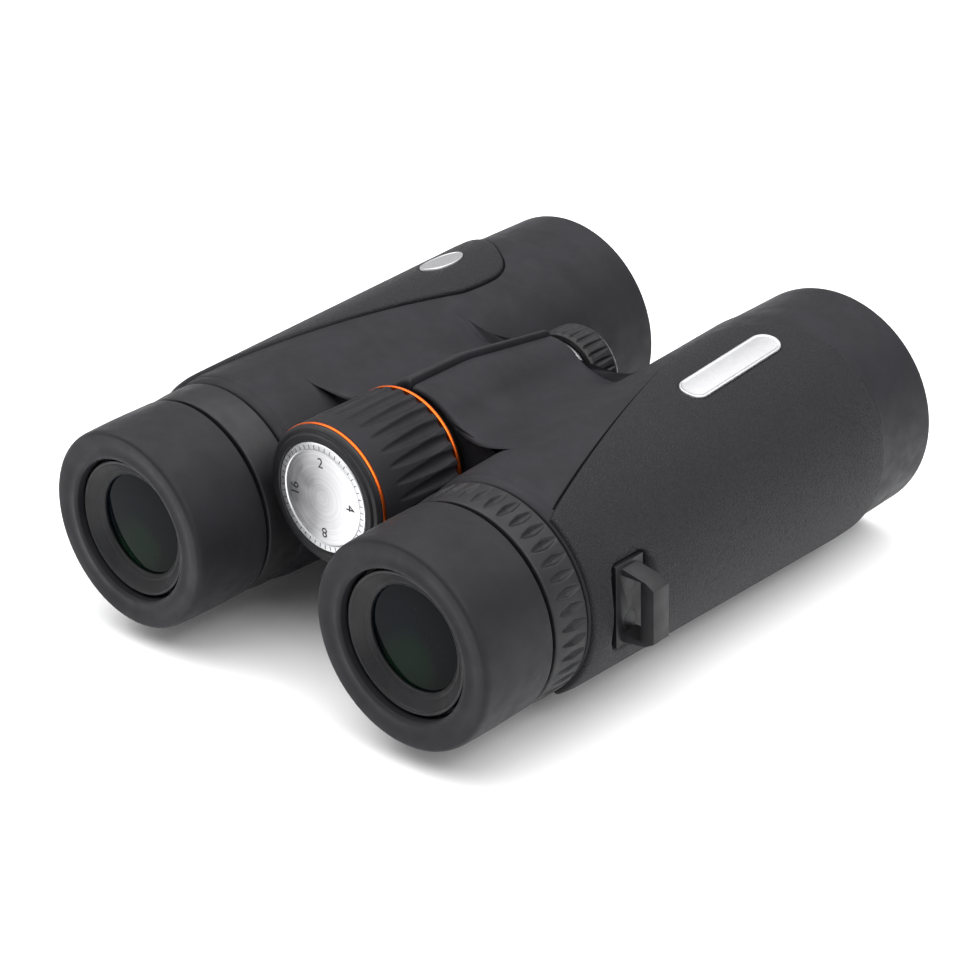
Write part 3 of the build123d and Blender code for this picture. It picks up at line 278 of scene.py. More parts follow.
def worn(finish, base, low, high, per_metre):
    """Base colour with soft patches between two strengths."""
    patches = finish.noise(per_metre, 4.0).step(0.35, 0.68)
    return finish.blend(patches, shade(base, low), shade(base, high))


def smooth_rubber(name, base, roughness, sheen=0.01):
    """Moulded rubber: faint mottling and a very fine matt skin."""
    f = Finish(name, sheen_weight=sheen, sheen_roughness=0.5, specular_ior_level=0.16)
    dust = f.noise(3600.0, 2.0).step(0.62, 0.80)
    body = worn(f, base, 0.88, 1.12, 90.0)
    colour_out = f.blend(dust * 0.22, body, shade(base, 1.9))
    skin = f.noise(7000.0, 3.0, 0.6)
    sag = f.noise(160.0, 2.0)
    relief = f.height(skin, 0.00006, 0.55, f.height(sag, 0.0004, 0.12))
    rough = f.noise(240.0, 3.0).step(0.3, 0.7, roughness - 0.06, roughness + 0.07)
    return f.drive(base_color=colour_out, roughness=rough, normal=relief)


def leather_rubber(name, base):
    """Grip rubber with a fine pebbled leather grain, its valleys painted darker as shade."""
    f = Finish(name, sheen_weight=0.01, sheen_roughness=0.45, specular_ior_level=0.20)
    bend = f.noise(700.0, 2.0, 0.5)
    warped = f.add(
        "ShaderNodeVectorMath", {"operation": "MULTIPLY_ADD"}, {0: bend, 1: (0.0012,) * 3, 2: f.place}
    )
    cell_sockets = {"Vector": warped, "Scale": 1900.0, "Randomness": 1.0}
    edge = f.add("ShaderNodeTexVoronoi", {"feature": "DISTANCE_TO_EDGE"}, cell_sockets, "Distance")
    pebble = edge.step(0.02, 0.30)
    fine = f.noise(4200.0, 2.0)
    body = worn(f, base, 0.90, 1.12, 110.0)
    # Darker in the grooves between pebbles: painted shade in the grain's valleys.
    valley_shaded = f.blend(pebble * 0.65, shade(base, 0.62), body)
    relief = f.height(fine, 0.00004, 0.4, f.height(pebble, 0.00010, 0.8))
    rough = pebble.step(0.0, 1.0, 0.60, 0.46)
    return f.drive(base_color=valley_shaded, roughness=rough, normal=relief)


def moulded_plastic(name, base, roughness, spark=2600.0):
    """Satin moulded plastic with a fine spark-eroded texture."""
    f = Finish(name, specular_ior_level=0.28)
    body = worn(f, base, 0.85, 1.2, 130.0)
    grain = f.noise(spark, 3.0, 0.6)
    relief = f.height(grain, 0.00005, 0.5)
    rough = f.noise(300.0, 2.0).step(0.3, 0.7, roughness - 0.05, roughness + 0.08)
    return f.drive(base_color=body, roughness=rough, normal=relief)


def turned_metal(name, base, roughness, centre, per_metre=5200.0, relief_depth=0.00002):
    """Metal turned about a line along Y: fine rings across its ends and sides."""
    f = Finish(name, metallic=1.0)
    x, y, z = f.outputs("ShaderNodeSeparateXYZ", ("X", "Y", "Z"), {}, {"Vector": f.place})
    across, up = x - centre[0], z - centre[1]
    radius = (across * across + up * up).math("SQRT")
    along = f.add("ShaderNodeCombineXYZ", {}, {"X": radius, "Y": y, "Z": 0.0})
    lines = f.noise(per_metre, 2.0, 0.6, place=along)
    patches = f.noise(260.0, 3.0)
    body = f.blend(lines.step(0.3, 0.7), shade(base, 0.86), shade(base, 1.08))
    rough = (patches * 0.5 + lines * 0.5).step(0.3, 0.7, roughness - 0.06, roughness + 0.08)
    return f.drive(base_color=body, roughness=rough, normal=f.height(lines, relief_depth, 0.5))


def blasted_metal(name, base, roughness, metallic=1.0):
    """Metal with a fine bead-blasted or cast skin."""
    f = Finish(name, metallic=metallic)
    grit = f.noise(5200.0, 3.0, 0.7)
    body = f.blend(grit.step(0.35, 0.65), shade(base, 0.93), shade(base, 1.05))
    rough = f.noise(900.0, 3.0).step(0.3, 0.7, roughness - 0.02, roughness + 0.03)
    return f.drive(base_color=body, roughness=rough, normal=f.height(grit, 0.00001, 0.3))


# Size of the lens patches, in metres; the patches are painted coating reflections.
PAINTED_REFLECTION_SIZE = 0.012


def coated_glass(name, base, side):
    """Opaque coated lens: a dark teal colour, darker towards the rim as painted shade, with soft blue
    and green patches painted in as coating reflections.
    """
    f = Finish(name, roughness=0.02, specular_ior_level=0.05)
    x, z = f.outputs("ShaderNodeSeparateXYZ", ("X", "Z"), {}, {"Vector": f.place})
    across = (x - side * HALF_SPACING * MM) / PAINTED_REFLECTION_SIZE
    up = (z - AXIS_HEIGHT * MM) / PAINTED_REFLECTION_SIZE
    radius = (across * across + up * up).math("SQRT")
    swirl = f.noise(120.0, 2.0, 0.5)
    # Green patch low on the lens: a painted coating reflection.
    green_x, green_z = across + 0.15, up + 0.45
    green = (green_x * green_x + green_z * green_z + swirl * 0.3 - 0.15).step(0.0, 0.42, 1.0, 0.0)
    # Blue patch: a painted coating reflection.
    blue_x, blue_z = across + 0.45, up - 0.35
    blue = (blue_x * blue_x + blue_z * blue_z + swirl * 0.4 - 0.2).step(0.0, 0.75, 1.0, 0.0)
    # Darker towards the rim: painted shade of the dark tube behind the lens.
    painted_rim_shade = f.blend(radius.step(0.45, 1.0), shade(base, 1.0), shade(base, 0.25))
    with_blue_reflection = f.blend(blue * 0.7, painted_rim_shade, (0.0012, 0.0030, 0.0060, 1.0))
    with_green_reflection = f.blend(green * 0.55, with_blue_reflection, (0.0030, 0.0150, 0.0060, 1.0))
    return f.drive(base_color=with_green_reflection)


def clear_glass(name):
    """Inner lens or prism glass: dark all over as painted shade of the tube round it, with faint
    random haze.
    """
    f = Finish(name, roughness=0.05, specular_ior_level=0.2)
    haze = f.noise(180.0, 2.0).step(0.3, 0.7)
    return f.drive(base_color=f.blend(haze, (0.02, 0.035, 0.035, 1), (0.035, 0.06, 0.055, 1)))


def pale_floor(name, base):
    """Plain studio floor with a trace of tone."""
    f = Finish(name, roughness=0.9, specular_ior_level=0.1)
    return f.drive(base_color=f.blend(f.noise(3.0, 2.0) * 0.15, base, shade(base, 0.99)))


def make_materials():
    """All finishes of the object, by material slot or use."""
    hinge_line = (0.0, (HINGE_Z + AXIS_HEIGHT) * MM)
    plastic = tint("plastic")
    MATERIALS.update(
        smooth_rubber=smooth_rubber("smooth_rubber", tint("rubber"), 0.52),
        grip_rubber=leather_rubber("grip_rubber", tint("grip")),
        knob_rubber=smooth_rubber("knob_rubber", shade(tint("grip"), 0.85), 0.55),
        eyecup_rubber=smooth_rubber("eyecup_rubber", tint("eyecup"), 0.50, 0.02),
        black_plastic=moulded_plastic("black_plastic", plastic, 0.42),
        ring_plastic=moulded_plastic("ring_plastic", shade(plastic, 1.25), 0.46),
        cast_body=blasted_metal("cast_body", (0.010, 0.010, 0.011, 1), 0.5, 0.1),
        optical_glass=clear_glass("optical_glass"),
        coated_glass_right=coated_glass("coated_glass_right", tint("glass"), 1),
        coated_glass_left=coated_glass("coated_glass_left", tint("glass"), -1),
        black_aluminium=blasted_metal("black_aluminium", (0.012, 0.012, 0.013, 1), 0.4, 0.5),
        brass=turned_metal("brass", (0.72, 0.50, 0.22, 1), 0.34, hinge_line),
        steel=turned_metal("steel", (0.50, 0.50, 0.51, 1), 0.30, hinge_line),
        black_steel=blasted_metal("black_steel", (0.03, 0.03, 0.032, 1), 0.35, 0.9),
        orange_anodised=turned_metal("orange_anodised", tint("accent"), 0.32, hinge_line),
        silver_disc=turned_metal("silver_disc", tint("silver"), 0.34, hinge_line, 9000.0),
        plate_metal=blasted_metal("plate_metal", shade(tint("silver"), 0.72), 0.42),
        scale_ink=moulded_plastic("scale_ink", (0.015, 0.015, 0.016, 1), 0.5),
    )


# ---- meshes --------------------------------------------------------------------------------
def to_frame(points):
    """Working millimetres, with stations from the eyecup rims, to the frame's metres."""
    placed = np.array(points, float).reshape(-1, 3)
    placed[:, 1] -= LENGTH / 2
    placed[:, 2] += AXIS_HEIGHT
    return placed * MM


def piece(name, points, faces, material, sharp_deg=40.0):
    """Object with its place in its mesh, its faces turned outwards and smooth shading."""
    mesh = bpy.data.meshes.new(name)
    mesh.from_pydata(to_frame(points).tolist(), [], faces)
    turn_outwards(mesh)
    mesh.shade_smooth()
    mesh.set_sharp_from_angle(angle=math.radians(sharp_deg))
    mesh.materials.append(MATERIALS[material])
    obj = bpy.data.objects.new(name, mesh)
    bpy.context.scene.collection.objects.link(obj)
    return obj


def turn_outwards(mesh, merge=0.0):
    """Merge doubles and point every face outwards."""
    shape = bmesh.new()
    shape.from_mesh(mesh)
    if merge:
        bmesh.ops.remove_doubles(shape, verts=shape.verts, dist=merge)
    bmesh.ops.recalc_face_normals(shape, faces=shape.faces)
    shape.to_mesh(mesh)
    shape.free()


def belongs(obj, body, nodes):
    """Tie a piece to its CAD body and hide the nodes that it stands for."""
    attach(obj, body)
    if nodes:
        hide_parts(*nodes)
    return obj


SETBACK_SHARE = 0.48


def rounded(corners, steps=6):
    """Outline through (radius, station, setback) corners, each rounded over its setback."""
    outline = []
    count = len(corners)
    for index, (radius, station, setback) in enumerate(corners):
        here = np.array((radius, station), float)
        if setback <= 0:
            outline.append(here)
            continue
        before = np.array(corners[index - 1][:2], float) - here
        after = np.array(corners[(index + 1) % count][:2], float) - here
        start, end = [
            here + side / np.linalg.norm(side) * min(setback, np.linalg.norm(side) * SETBACK_SHARE)
            for side in (before, after)
        ]
        for step in range(steps + 1):
            t = step / steps
            outline.append((1 - t) ** 2 * start + 2 * t * (1 - t) * here + t * t * end)
    return outline


def refine(outline, spacing):
    """Closed outline with extra points, so that no stretch is longer than the spacing."""
    result = []
    for start, end in zip(outline, outline[1:] + outline[:1]):
        parts = max(1, math.ceil(np.linalg.norm(end - start) / spacing))
        result.extend(start + (end - start) * part / parts for part in range(parts))
    return result


def turned(outline, centre, segments):
    """Points and faces of a closed outline of (radius, station) turned about a line along Y."""
    points, rings = [], []
    turns = [2 * math.pi * index / segments for index in range(segments)]
    for radius, station in outline:
        if radius < 1e-6:
            rings.append([len(points)] * segments)
            points.append((centre[0], station, centre[1]))
            continue
        rings.append(list(range(len(points), len(points) + segments)))
        points.extend(
            (centre[0] + radius * math.cos(turn), station, centre[1] + radius * math.sin(turn))
            for turn in turns
        )
    faces = []
    for index, ring in enumerate(rings):
        following = rings[(index + 1) % len(rings)]
        if ring[0] == ring[1] and following[0] == following[1]:
            continue
        for here in range(segments):
            there = (here + 1) % segments
            corners = (ring[here], ring[there], following[there], following[here])
            faces.append(tuple(dict.fromkeys(corners)))
    return points, faces


def turned_piece(name, corners, centre, material, segments=256, spacing=None):
    """Turned piece from rounded corners."""
    outline = rounded(corners)
    if spacing:
        outline = refine(outline, spacing)
    points, faces = turned(outline, centre, segments)
    return piece(name, points, faces, material)


def barrel_centre(side):
    """Barrel's axis, as (x, z)."""
    return (side * HALF_SPACING, 0.0)


HINGE_CENTRE = (0.0, HINGE_Z)


def plain_mesh(obj):
    """Replace an object's mesh by its evaluated one, without modifiers."""
    graph = bpy.context.evaluated_depsgraph_get()
    evaluated = bpy.data.meshes.new_from_object(obj.evaluated_get(graph))
    obj.modifiers.clear()
    old = obj.data
    obj.data = evaluated
    bpy.data.meshes.remove(old)
    return obj


def apply_tree(obj, tree, **values):
    """Run a geometry tree on an object, with named input values, and keep the plain result."""
    modifier = obj.modifiers.new(tree.name, "NODES")
    modifier.node_group = tree
    for item in tree.interface.items_tree:
        key = item.name.lower().replace(" ", "_")
        if item.item_type == "SOCKET" and item.in_out == "INPUT" and key in values:
            modifier[item.identifier] = values[key]
    bpy.context.view_layer.update()
    return plain_mesh(obj)


def geometry_tree(name, inputs):
    """New geometry tree with named inputs; returns its graph and its inputs as fields."""
    tree = bpy.data.node_groups.new(name, "GeometryNodeTree")
    tree.interface.new_socket("Geometry", in_out="INPUT", socket_type="NodeSocketGeometry")
    for label, kind in inputs:
        tree.interface.new_socket(label, in_out="INPUT", socket_type=kind)
    tree.interface.new_socket("Geometry", in_out="OUTPUT", socket_type="NodeSocketGeometry")
    graph = Graph(tree)
    entry = graph.add("NodeGroupInput", output=None)
    return graph, {socket.name: Field(graph, socket) for socket in entry.outputs if socket.name}


def close_tree(graph, geometry, material):
    """End a geometry tree in Realize Instances and Set Material."""
    real = graph.add("GeometryNodeRealizeInstances", {}, {0: geometry})
    painted = graph.add("GeometryNodeSetMaterial", {}, {"Geometry": real, "Material": material})
    graph.add("NodeGroupOutput", {}, {0: painted}, None)
    return graph.tree


def pocket_tree():
    """Pockets round an axis along Y: pointed where they start, widest where they end."""
    graph, given = geometry_tree(
        "radial_pockets",
        [
            ("Count", "NodeSocketInt"), ("Depth", "NodeSocketFloat"), ("Start", "NodeSocketFloat"),
            ("Widest", "NodeSocketFloat"), ("End", "NodeSocketFloat"), ("Share", "NodeSocketFloat"),
            ("Least Radius", "NodeSocketFloat"), ("Centre X", "NodeSocketFloat"),
            ("Centre Z", "NodeSocketFloat"), ("Material", "NodeSocketMaterial"),
        ],
    )
    place = graph.add("GeometryNodeInputPosition")
    x, y, z = graph.outputs("ShaderNodeSeparateXYZ", ("X", "Y", "Z"), {}, {"Vector": place})
    across, up = x - given["Centre X"], z - given["Centre Z"]
    radius = (across * across + up * up).math("SQRT")
    turn = up.math("ARCTAN2", across) / (2 * math.pi)
    wave = (turn * given["Count"] + 1000.0).math("FRACT")
    aside = (wave - 0.5).math("ABSOLUTE") * 2.0
    rise = (y - given["Start"]) / (given["Widest"] - given["Start"])
    fall = (given["End"] - y) / (given["End"] - given["Widest"])
    along = rise.math("MINIMUM", fall).math("MAXIMUM", 0.0).math("MINIMUM", 1.0)
    width = along.math("SQRT") * given["Share"] + 0.0001
    hollow = (1.0 - (aside / width).math("POWER", 2.0)).math("MAXIMUM", 0.0)
    depth = hollow.math("POWER", 0.6) * along.math("SQRT") * given["Depth"]
    outside = radius.math("GREATER_THAN", given["Least Radius"])
    push = -(depth * outside) / radius
    offset = graph.add("ShaderNodeCombineXYZ", {}, {"X": across * push, "Y": 0.0, "Z": up * push})
    sockets = {"Geometry": given["Geometry"], "Offset": offset}
    moved = graph.add("GeometryNodeSetPosition", {}, sockets)
    return close_tree(graph, moved, given["Material"])


def array_tree():
    """Copies of the input, turned evenly about a line along Y through a centre."""
    graph, given = geometry_tree(
        "radial_array",
        [
            ("Count", "NodeSocketInt"), ("Centre X", "NodeSocketFloat"),
            ("Centre Z", "NodeSocketFloat"), ("Material", "NodeSocketMaterial"),
        ],
    )
    sockets = {"X": given["Centre X"], "Y": 0.0, "Z": given["Centre Z"]}
    centre = graph.add("ShaderNodeCombineXYZ", {}, sockets)
    points = graph.add("GeometryNodePoints", {}, {"Count": given["Count"], "Position": centre})
    index = graph.add("GeometryNodeInputIndex")
    turn = index / given["Count"] * (2 * math.pi)
    angles = graph.add("ShaderNodeCombineXYZ", {}, {"X": 0.0, "Y": turn, "Z": 0.0})
    rotation = graph.add("FunctionNodeEulerToRotation", {}, {0: angles})
    sockets = {"Points": points, "Instance": given["Geometry"], "Rotation": rotation}
    copies = graph.add("GeometryNodeInstanceOnPoints", {}, sockets)
    return close_tree(graph, copies, given["Material"])


TREES = {}


def station_y(station):
    """Row-frame Y, in metres, of a station in millimetres."""
    return (station - LENGTH / 2) * MM


def carve(obj, centre, count, depth, start, widest, end, share, least_radius, material):
    """Cut pockets into a turned piece."""
    return apply_tree(
        obj, TREES["pockets"], count=count, depth=depth * MM, start=station_y(start),
        widest=station_y(widest), end=station_y(end), share=share,
        least_radius=least_radius * MM, centre_x=centre[0] * MM,
        centre_z=(centre[1] + AXIS_HEIGHT) * MM, material=MATERIALS[material],
    )


# ---- armour --------------------------------------------------------------------------------
SLEEVE = ((28.0, 22.0), (31.0, 22.55), (118.0, 25.5), (122.0, 25.2), (150.0, 25.2))
BRIDGE_REAR, BRIDGE_FRONT = 45.4, 88.6
CROWN = ((40.0, 14.3), (62.0, 14.3), (88.6, 10.6), (95.0, 10.6))
DRUM_INSET = 1.4
RIGHT_EDGE_DEG, LEFT_EDGE_DEG = 91.0, 87.4
CROWN_START_DEG = 50.0
EDGE_TURN_DEG = 1.2
RIGHT_DRUM_END_DEG, LEFT_DRUM_END_DEG = -40.0, -80.5
SADDLE_START_DEG = 108.0
SADDLE_GAP_DEG = 5.0
WEB_END_DEG = 205.0
SADDLE_PULL = 26.0
SADDLE_COUNT = 30
PANEL_DIAGONAL = ((12.3, 27.5), (-8.5, 93.0))
PANEL_CORNER = (
    (-9.0, 99.0), (-8.9, 105.0), (-6.6, 109.3), (-2.1, 112.3), (1.1, 114.4), (6.1, 116.7),
    (12.2, 118.2), (17.0, 119.2), (22.0, 119.9),
)
PANEL_FRONT = 120.1
KNEE_STATION = 112.0
ARMOUR_REAR = (
    (20.8, 28.0, 0), (21.55, 28.0, 0.5), (22.25, 29.2, 0.9), (22.2, 30.3, 0.35), (22.46, 30.7, 0.3),
)
HOOD_RIM = (
    (25.2, 136.6, 0), (25.2, LENGTH, 1.1), (23.1, LENGTH, 0.7), (22.7, 137.0, 0.6), (22.7, 134.05, 0),
)
ARMOUR_INSIDE = ((23.6, 134.05), (23.7, 128.0), (23.75, 118.0), (22.5, 88.0), (21.0, 40.0))
END_STEPS = np.array((0.05, 0.15, 0.4, 0.8, 1.3))
END_INSETS = (0.85, 0.5, 0.22, 0.07)
REAR_SWEEP, FRONT_SWEEP = 3.4, 3.0
SWEEP_MIDDLES = (62.0, 68.0)
SWEEP_REAR, SWEEP_FRONT, SWEEP_COLUMNS = 33, 104, 26.0
FRONT_MELT_LENGTH, REAR_MELT_LENGTH = 16, 8
FRONT_MELT_COLUMNS, REAR_MELT_COLUMNS = (9, 24), (3, 9)
RIGHT_SKIRT = np.array((0.6, -0.9))
WEB_START_PULL, WEB_END_PULL = np.array((4.0, -1.0)), np.array((9.0, -6.0))
PANEL_COLUMNS = np.sin(np.linspace(-1, 1, 80)[1:-1] * math.pi / 2)
FLANK_COLUMNS = np.linspace(0, 1, 34) ** 1.7
LOWER_COLUMNS = 1 - (1 - np.linspace(0, 1, 34)[1:]) ** 1.7
PANEL_SEAT_DEPTH, RECESS_DEPTH = 0.95, 0.7


def sleeve_radius(station):
    """Smooth armour's radius, softened where its slope changes."""
    stations, radii = zip(*SLEEVE)
    near = [np.interp(np.asarray(station, float) + shift, stations, radii) for shift in (-1, 0, 1)]
    return (near[0] + 2 * near[1] + near[2]) / 4


def crown_radius(station):
    """Bridge skin's radius about the hinge."""
    stations, radii = zip(*CROWN)
    near = [np.interp(np.asarray(station, float) + shift, stations, radii) for shift in (-2, 0, 2)]
    return (near[0] + 2 * near[1] + near[2]) / 4


def panel_border():
    """Half of the grip panel's border, unrolled, as (arc, station) points from the rear."""
    (x0, y0), (x1, y1) = PANEL_DIAGONAL
    plan = [(x0 + (x1 - x0) * t, y0 + (y1 - y0) * t) for t in np.linspace(0, 1, 30)]
    plan += PANEL_CORNER
    border = [
        (math.acos(x / (float(sleeve_radius(y)) + 0.1)) * UNROLLED_RADIUS, y) for x, y in plan
    ]
    border += [(8.0, PANEL_FRONT - 0.05), (0.0, PANEL_FRONT)]
    line = np.array(border)
    for _ in range(2):
        near, far = (line[:-1] * 3 + line[1:]) / 4, (line[:-1] + line[1:] * 3) / 4
        cut = np.stack([near, far], 1).reshape(-1, 2)
        line = np.vstack([line[:1], cut[1:-1], line[-1:]])
    return line


def closed_border(half):
    """Whole border from its half, mirrored under the barrel."""
    return np.vstack([half, (half[:-1] * (-1, 1))[::-1]])


def shift_border(border, amount):
    """Closed border moved inwards by an amount."""
    following = np.roll(border, -1, 0)
    along = following - np.roll(border, 1, 0)
    along /= np.linalg.norm(along, axis=1)[:, None] + 1e-12
    area = np.sum(border[:, 0] * following[:, 1] - following[:, 0] * border[:, 1])
    inwards = np.stack([-along[:, 1], along[:, 0]], 1) * (1 if area > 0 else -1)
    return border + inwards * amount


def even_border(border, spacing):
    """Closed border with evenly spaced points."""
    loop = np.vstack([border, border[:1]])
    run = np.concatenate([[0], np.cumsum(np.linalg.norm(np.diff(loop, axis=0), axis=1))])
    count = max(8, int(run[-1] / spacing))
    at = np.linspace(0, run[-1], count, endpoint=False)
    return np.stack([np.interp(at, run, loop[:, 0]), np.interp(at, run, loop[:, 1])], 1)


def inside_distance(points, border):
    """Distance from a closed border, positive inside it."""
    start, end = border, np.roll(border, -1, 0)
    best = np.full(len(points), 1e9)
    crossings = np.zeros(len(points), int)
    for (ax, ay), (bx, by) in zip(start, end):
        dx, dy = bx - ax, by - ay
        across, up = points[:, 0] - ax, points[:, 1] - ay
        share = np.clip((across * dx + up * dy) / (dx * dx + dy * dy + 1e-18), 0, 1)
        best = np.minimum(best, np.hypot(across - share * dx, up - share * dy))
        if ay != by:
            spans = (points[:, 1] >= min(ay, by)) & (points[:, 1] < max(ay, by))
            cross = ax + up / dy * dx
            crossings += (spans & (points[:, 0] < cross)).astype(int)
    return np.where(crossings % 2 == 1, best, -best)


def smooth(value, low, high):
    """Smooth step of an array."""
    t = np.clip((value - low) / (high - low), 0, 1)
    return t * t * (3 - 2 * t)


RECESS_HALF_WIDTH, RECESS_REAR, RECESS_FRONT, RECESS_CORNER = 9.6, 34.7, 44.6, 1.6


def lug_recess_border():
    """Rounded rectangle of the strap lug's recess, unrolled."""
    half, rear, front, corner = RECESS_HALF_WIDTH, RECESS_REAR, RECESS_FRONT, RECESS_CORNER
    border = []
    for cx, cy, start in (
        (half - corner, front - corner, 0), (-half + corner, front - corner, 90),
        (-half + corner, rear + corner, 180), (half - corner, rear + corner, 270),
    ):
        for turn in np.linspace(math.radians(start), math.radians(start + 90), 7):
            border.append((cx + corner * math.cos(turn), cy + corner * math.sin(turn)))
    return np.array(border)


def hermite(start, start_pull, end, end_pull, count):
    """Cubic curve between two points, with the pulls at its ends."""
    t = np.linspace(0, 1, count)[:, None]
    return (
        (2 * t**3 - 3 * t**2 + 1) * start + (t**3 - 2 * t**2 + t) * start_pull
        + (3 * t**2 - 2 * t**3) * end + (t**3 - t**2) * end_pull
    )


def about_hinge(radius, degrees):
    """Points about the hinge, as (x, z)."""
    turn = np.radians(degrees)
    return np.stack([radius * np.cos(turn), HINGE_Z + radius * np.sin(turn)], -1)


def on_barrel(radius, degrees):
    """Points about the barrel, as (x, z)."""
    turn = np.radians(degrees)
    return np.stack([HALF_SPACING + radius * np.cos(turn), radius * np.sin(turn)], -1)


def bridge_section(station, saddle_deg, is_right, lip, inset):
    """Bridge's section from the barrel over the crown, back along the drum, to the barrel."""
    outer = float(crown_radius(station)) - inset
    inner = float(crown_radius(station)) - DRUM_INSET + inset * 0.4
    edge = RIGHT_EDGE_DEG if is_right else LEFT_EDGE_DEG
    radius = float(sleeve_radius(station))
    lip = 0.0 if is_right else lip
    turn = math.radians(saddle_deg)
    start = on_barrel(radius, saddle_deg)
    start_pull = np.array((-math.sin(turn), math.cos(turn))) * SADDLE_PULL
    crown_turn = math.radians(CROWN_START_DEG)
    end = about_hinge(outer, CROWN_START_DEG)
    end_pull = np.array((-math.sin(crown_turn), math.cos(crown_turn))) * SADDLE_PULL
    saddle = hermite(start, start_pull, end, end_pull, SADDLE_COUNT)
    if inset > 0:
        sink = np.sin(np.linspace(0, math.pi / 2, SADDLE_COUNT))[:, None] * inset
        saddle = saddle - np.array((0.0, 1.0)) * sink * 0.6
    crown_deg = np.concatenate([
        np.linspace(CROWN_START_DEG + 2, edge - 13, 12),
        np.linspace(edge - 11, edge - EDGE_TURN_DEG, 14),
    ])
    bump = lip * smooth(crown_deg, edge - 24, edge - 2)
    crown = about_hinge(outer + bump, crown_deg)
    middle = (outer + lip + inner) / 2
    half = (outer + lip - inner) / 2
    edge_turns = np.radians(np.linspace(90, -90, 9))
    edge_curve = about_hinge(
        middle + half * np.sin(edge_turns),
        edge - EDGE_TURN_DEG + EDGE_TURN_DEG * np.cos(edge_turns),
    )[1:]
    if is_right:
        drum = about_hinge(inner, np.linspace(edge - 3, RIGHT_DRUM_END_DEG, 30))
        drum_end = about_hinge(inner, np.array([RIGHT_DRUM_END_DEG]))
        under = drum_end + np.linspace(0, 1, 14)[:, None] * RIGHT_SKIRT
    else:
        drum = about_hinge(inner, np.linspace(edge - 3, LEFT_DRUM_END_DEG, 30))
        skirt_turns = np.radians(np.linspace(-90, 90, 6))
        skirt_edge = about_hinge(
            (outer + inner) / 2 + (outer - inner) / 2 * np.sin(skirt_turns),
            LEFT_DRUM_END_DEG - 1.5 * np.cos(skirt_turns),
        )
        under = np.vstack([skirt_edge[1:], about_hinge(outer, np.linspace(-76, -48, 9))])
    web_end = on_barrel(radius, WEB_END_DEG)
    web = hermite(under[-1], WEB_START_PULL, web_end, WEB_END_PULL, 16)[1:]
    return np.vstack([saddle, crown, edge_curve, drum, under, web])


def melted(section, station, is_right):
    """Bridge section with its start melted into the barrel near the bridge's ends."""
    column = np.arange(len(section))
    front_melt = smooth(station, BRIDGE_FRONT - FRONT_MELT_LENGTH, BRIDGE_FRONT)
    front_melt = front_melt * (1 - smooth(column, *FRONT_MELT_COLUMNS))
    rear_melt = smooth(-station, -BRIDGE_REAR - REAR_MELT_LENGTH, -BRIDGE_REAR)
    rear_melt = rear_melt * (1 - smooth(column, *REAR_MELT_COLUMNS))
    melt = front_melt if is_right else np.maximum(front_melt, rear_melt)
    barrel = float(sleeve_radius(station))
    from_barrel = section - (HALF_SPACING, 0.0)
    reach = np.linalg.norm(from_barrel, axis=1)
    height = np.where(column < SADDLE_COUNT, np.maximum(reach - barrel, 0), reach - barrel)
    return from_barrel * ((barrel + height * (1 - melt)) / reach)[:, None] + (HALF_SPACING, 0.0)


def armour_rows():
    """Rows as (radius, station), radius None on the sleeve, and the bridge's first and last."""
    outer = np.concatenate([
        np.arange(31.2, 45.2, 0.8), [BRIDGE_REAR], BRIDGE_REAR + END_STEPS,
        np.arange(BRIDGE_REAR + 2.2, BRIDGE_FRONT - 2, 1.0),
        BRIDGE_FRONT - END_STEPS[::-1], [BRIDGE_FRONT],
        np.arange(BRIDGE_FRONT + 0.8, 110.4, 1.2), np.arange(111, 121.5, 0.3),
        np.arange(122, 136.5, 1.5),
    ])
    rear = rounded(ARMOUR_REAR, 5)
    rows = [tuple(point) for point in rear]
    rows += [(None, station) for station in outer]
    rows += [tuple(point) for point in rounded(HOOD_RIM, 7)] + list(ARMOUR_INSIDE)
    low_row = len(rear) + int(np.searchsorted(outer, BRIDGE_REAR)) + 1
    high_row = len(rear) + int(np.searchsorted(outer, BRIDGE_FRONT)) - 1
    return rows, low_row, high_row


def panel_edge_deg(station, half):
    """Angle of the grip panel's upper edge about the barrel."""
    order = np.argsort(half[:, 1])
    within = min(max(station, 27.6), KNEE_STATION)
    return math.degrees(np.interp(within, half[order, 1], half[order, 0]) / UNROLLED_RADIUS)


def saddle_start_deg(edge_deg):
    """Angle at which the bridge leaves the barrel, clear of the grip panel."""
    return max(SADDLE_START_DEG, edge_deg + SADDLE_GAP_DEG)


def armour_turns(edge_deg, bridge_count):
    """Angles of the columns about the barrel: panel, flank, bridge and underside."""
    saddle_deg = saddle_start_deg(edge_deg)
    return np.concatenate([
        PANEL_COLUMNS * edge_deg,
        edge_deg + (saddle_deg - edge_deg) * FLANK_COLUMNS[:-1],
        saddle_deg + (WEB_END_DEG - saddle_deg) * np.linspace(0, 1, bridge_count),
        WEB_END_DEG + (360 - edge_deg - WEB_END_DEG) * LOWER_COLUMNS,
    ])


def let_in(theta, stations, half):
    """Depth by which the sleeve is let in under the grip panel and in the lug's recess."""
    signed = np.where(theta > 180, theta - 360, theta)
    flat = np.stack([np.radians(signed) * UNROLLED_RADIUS, stations], -1).reshape(-1, 2)
    in_panel = inside_distance(flat, closed_border(half)).reshape(theta.shape)
    in_recess = inside_distance(flat, lug_recess_border()).reshape(theta.shape)
    seat = smooth(in_panel, -0.12, 0.28) * PANEL_SEAT_DEPTH
    return seat + smooth(in_recess, -0.1, 0.3) * RECESS_DEPTH


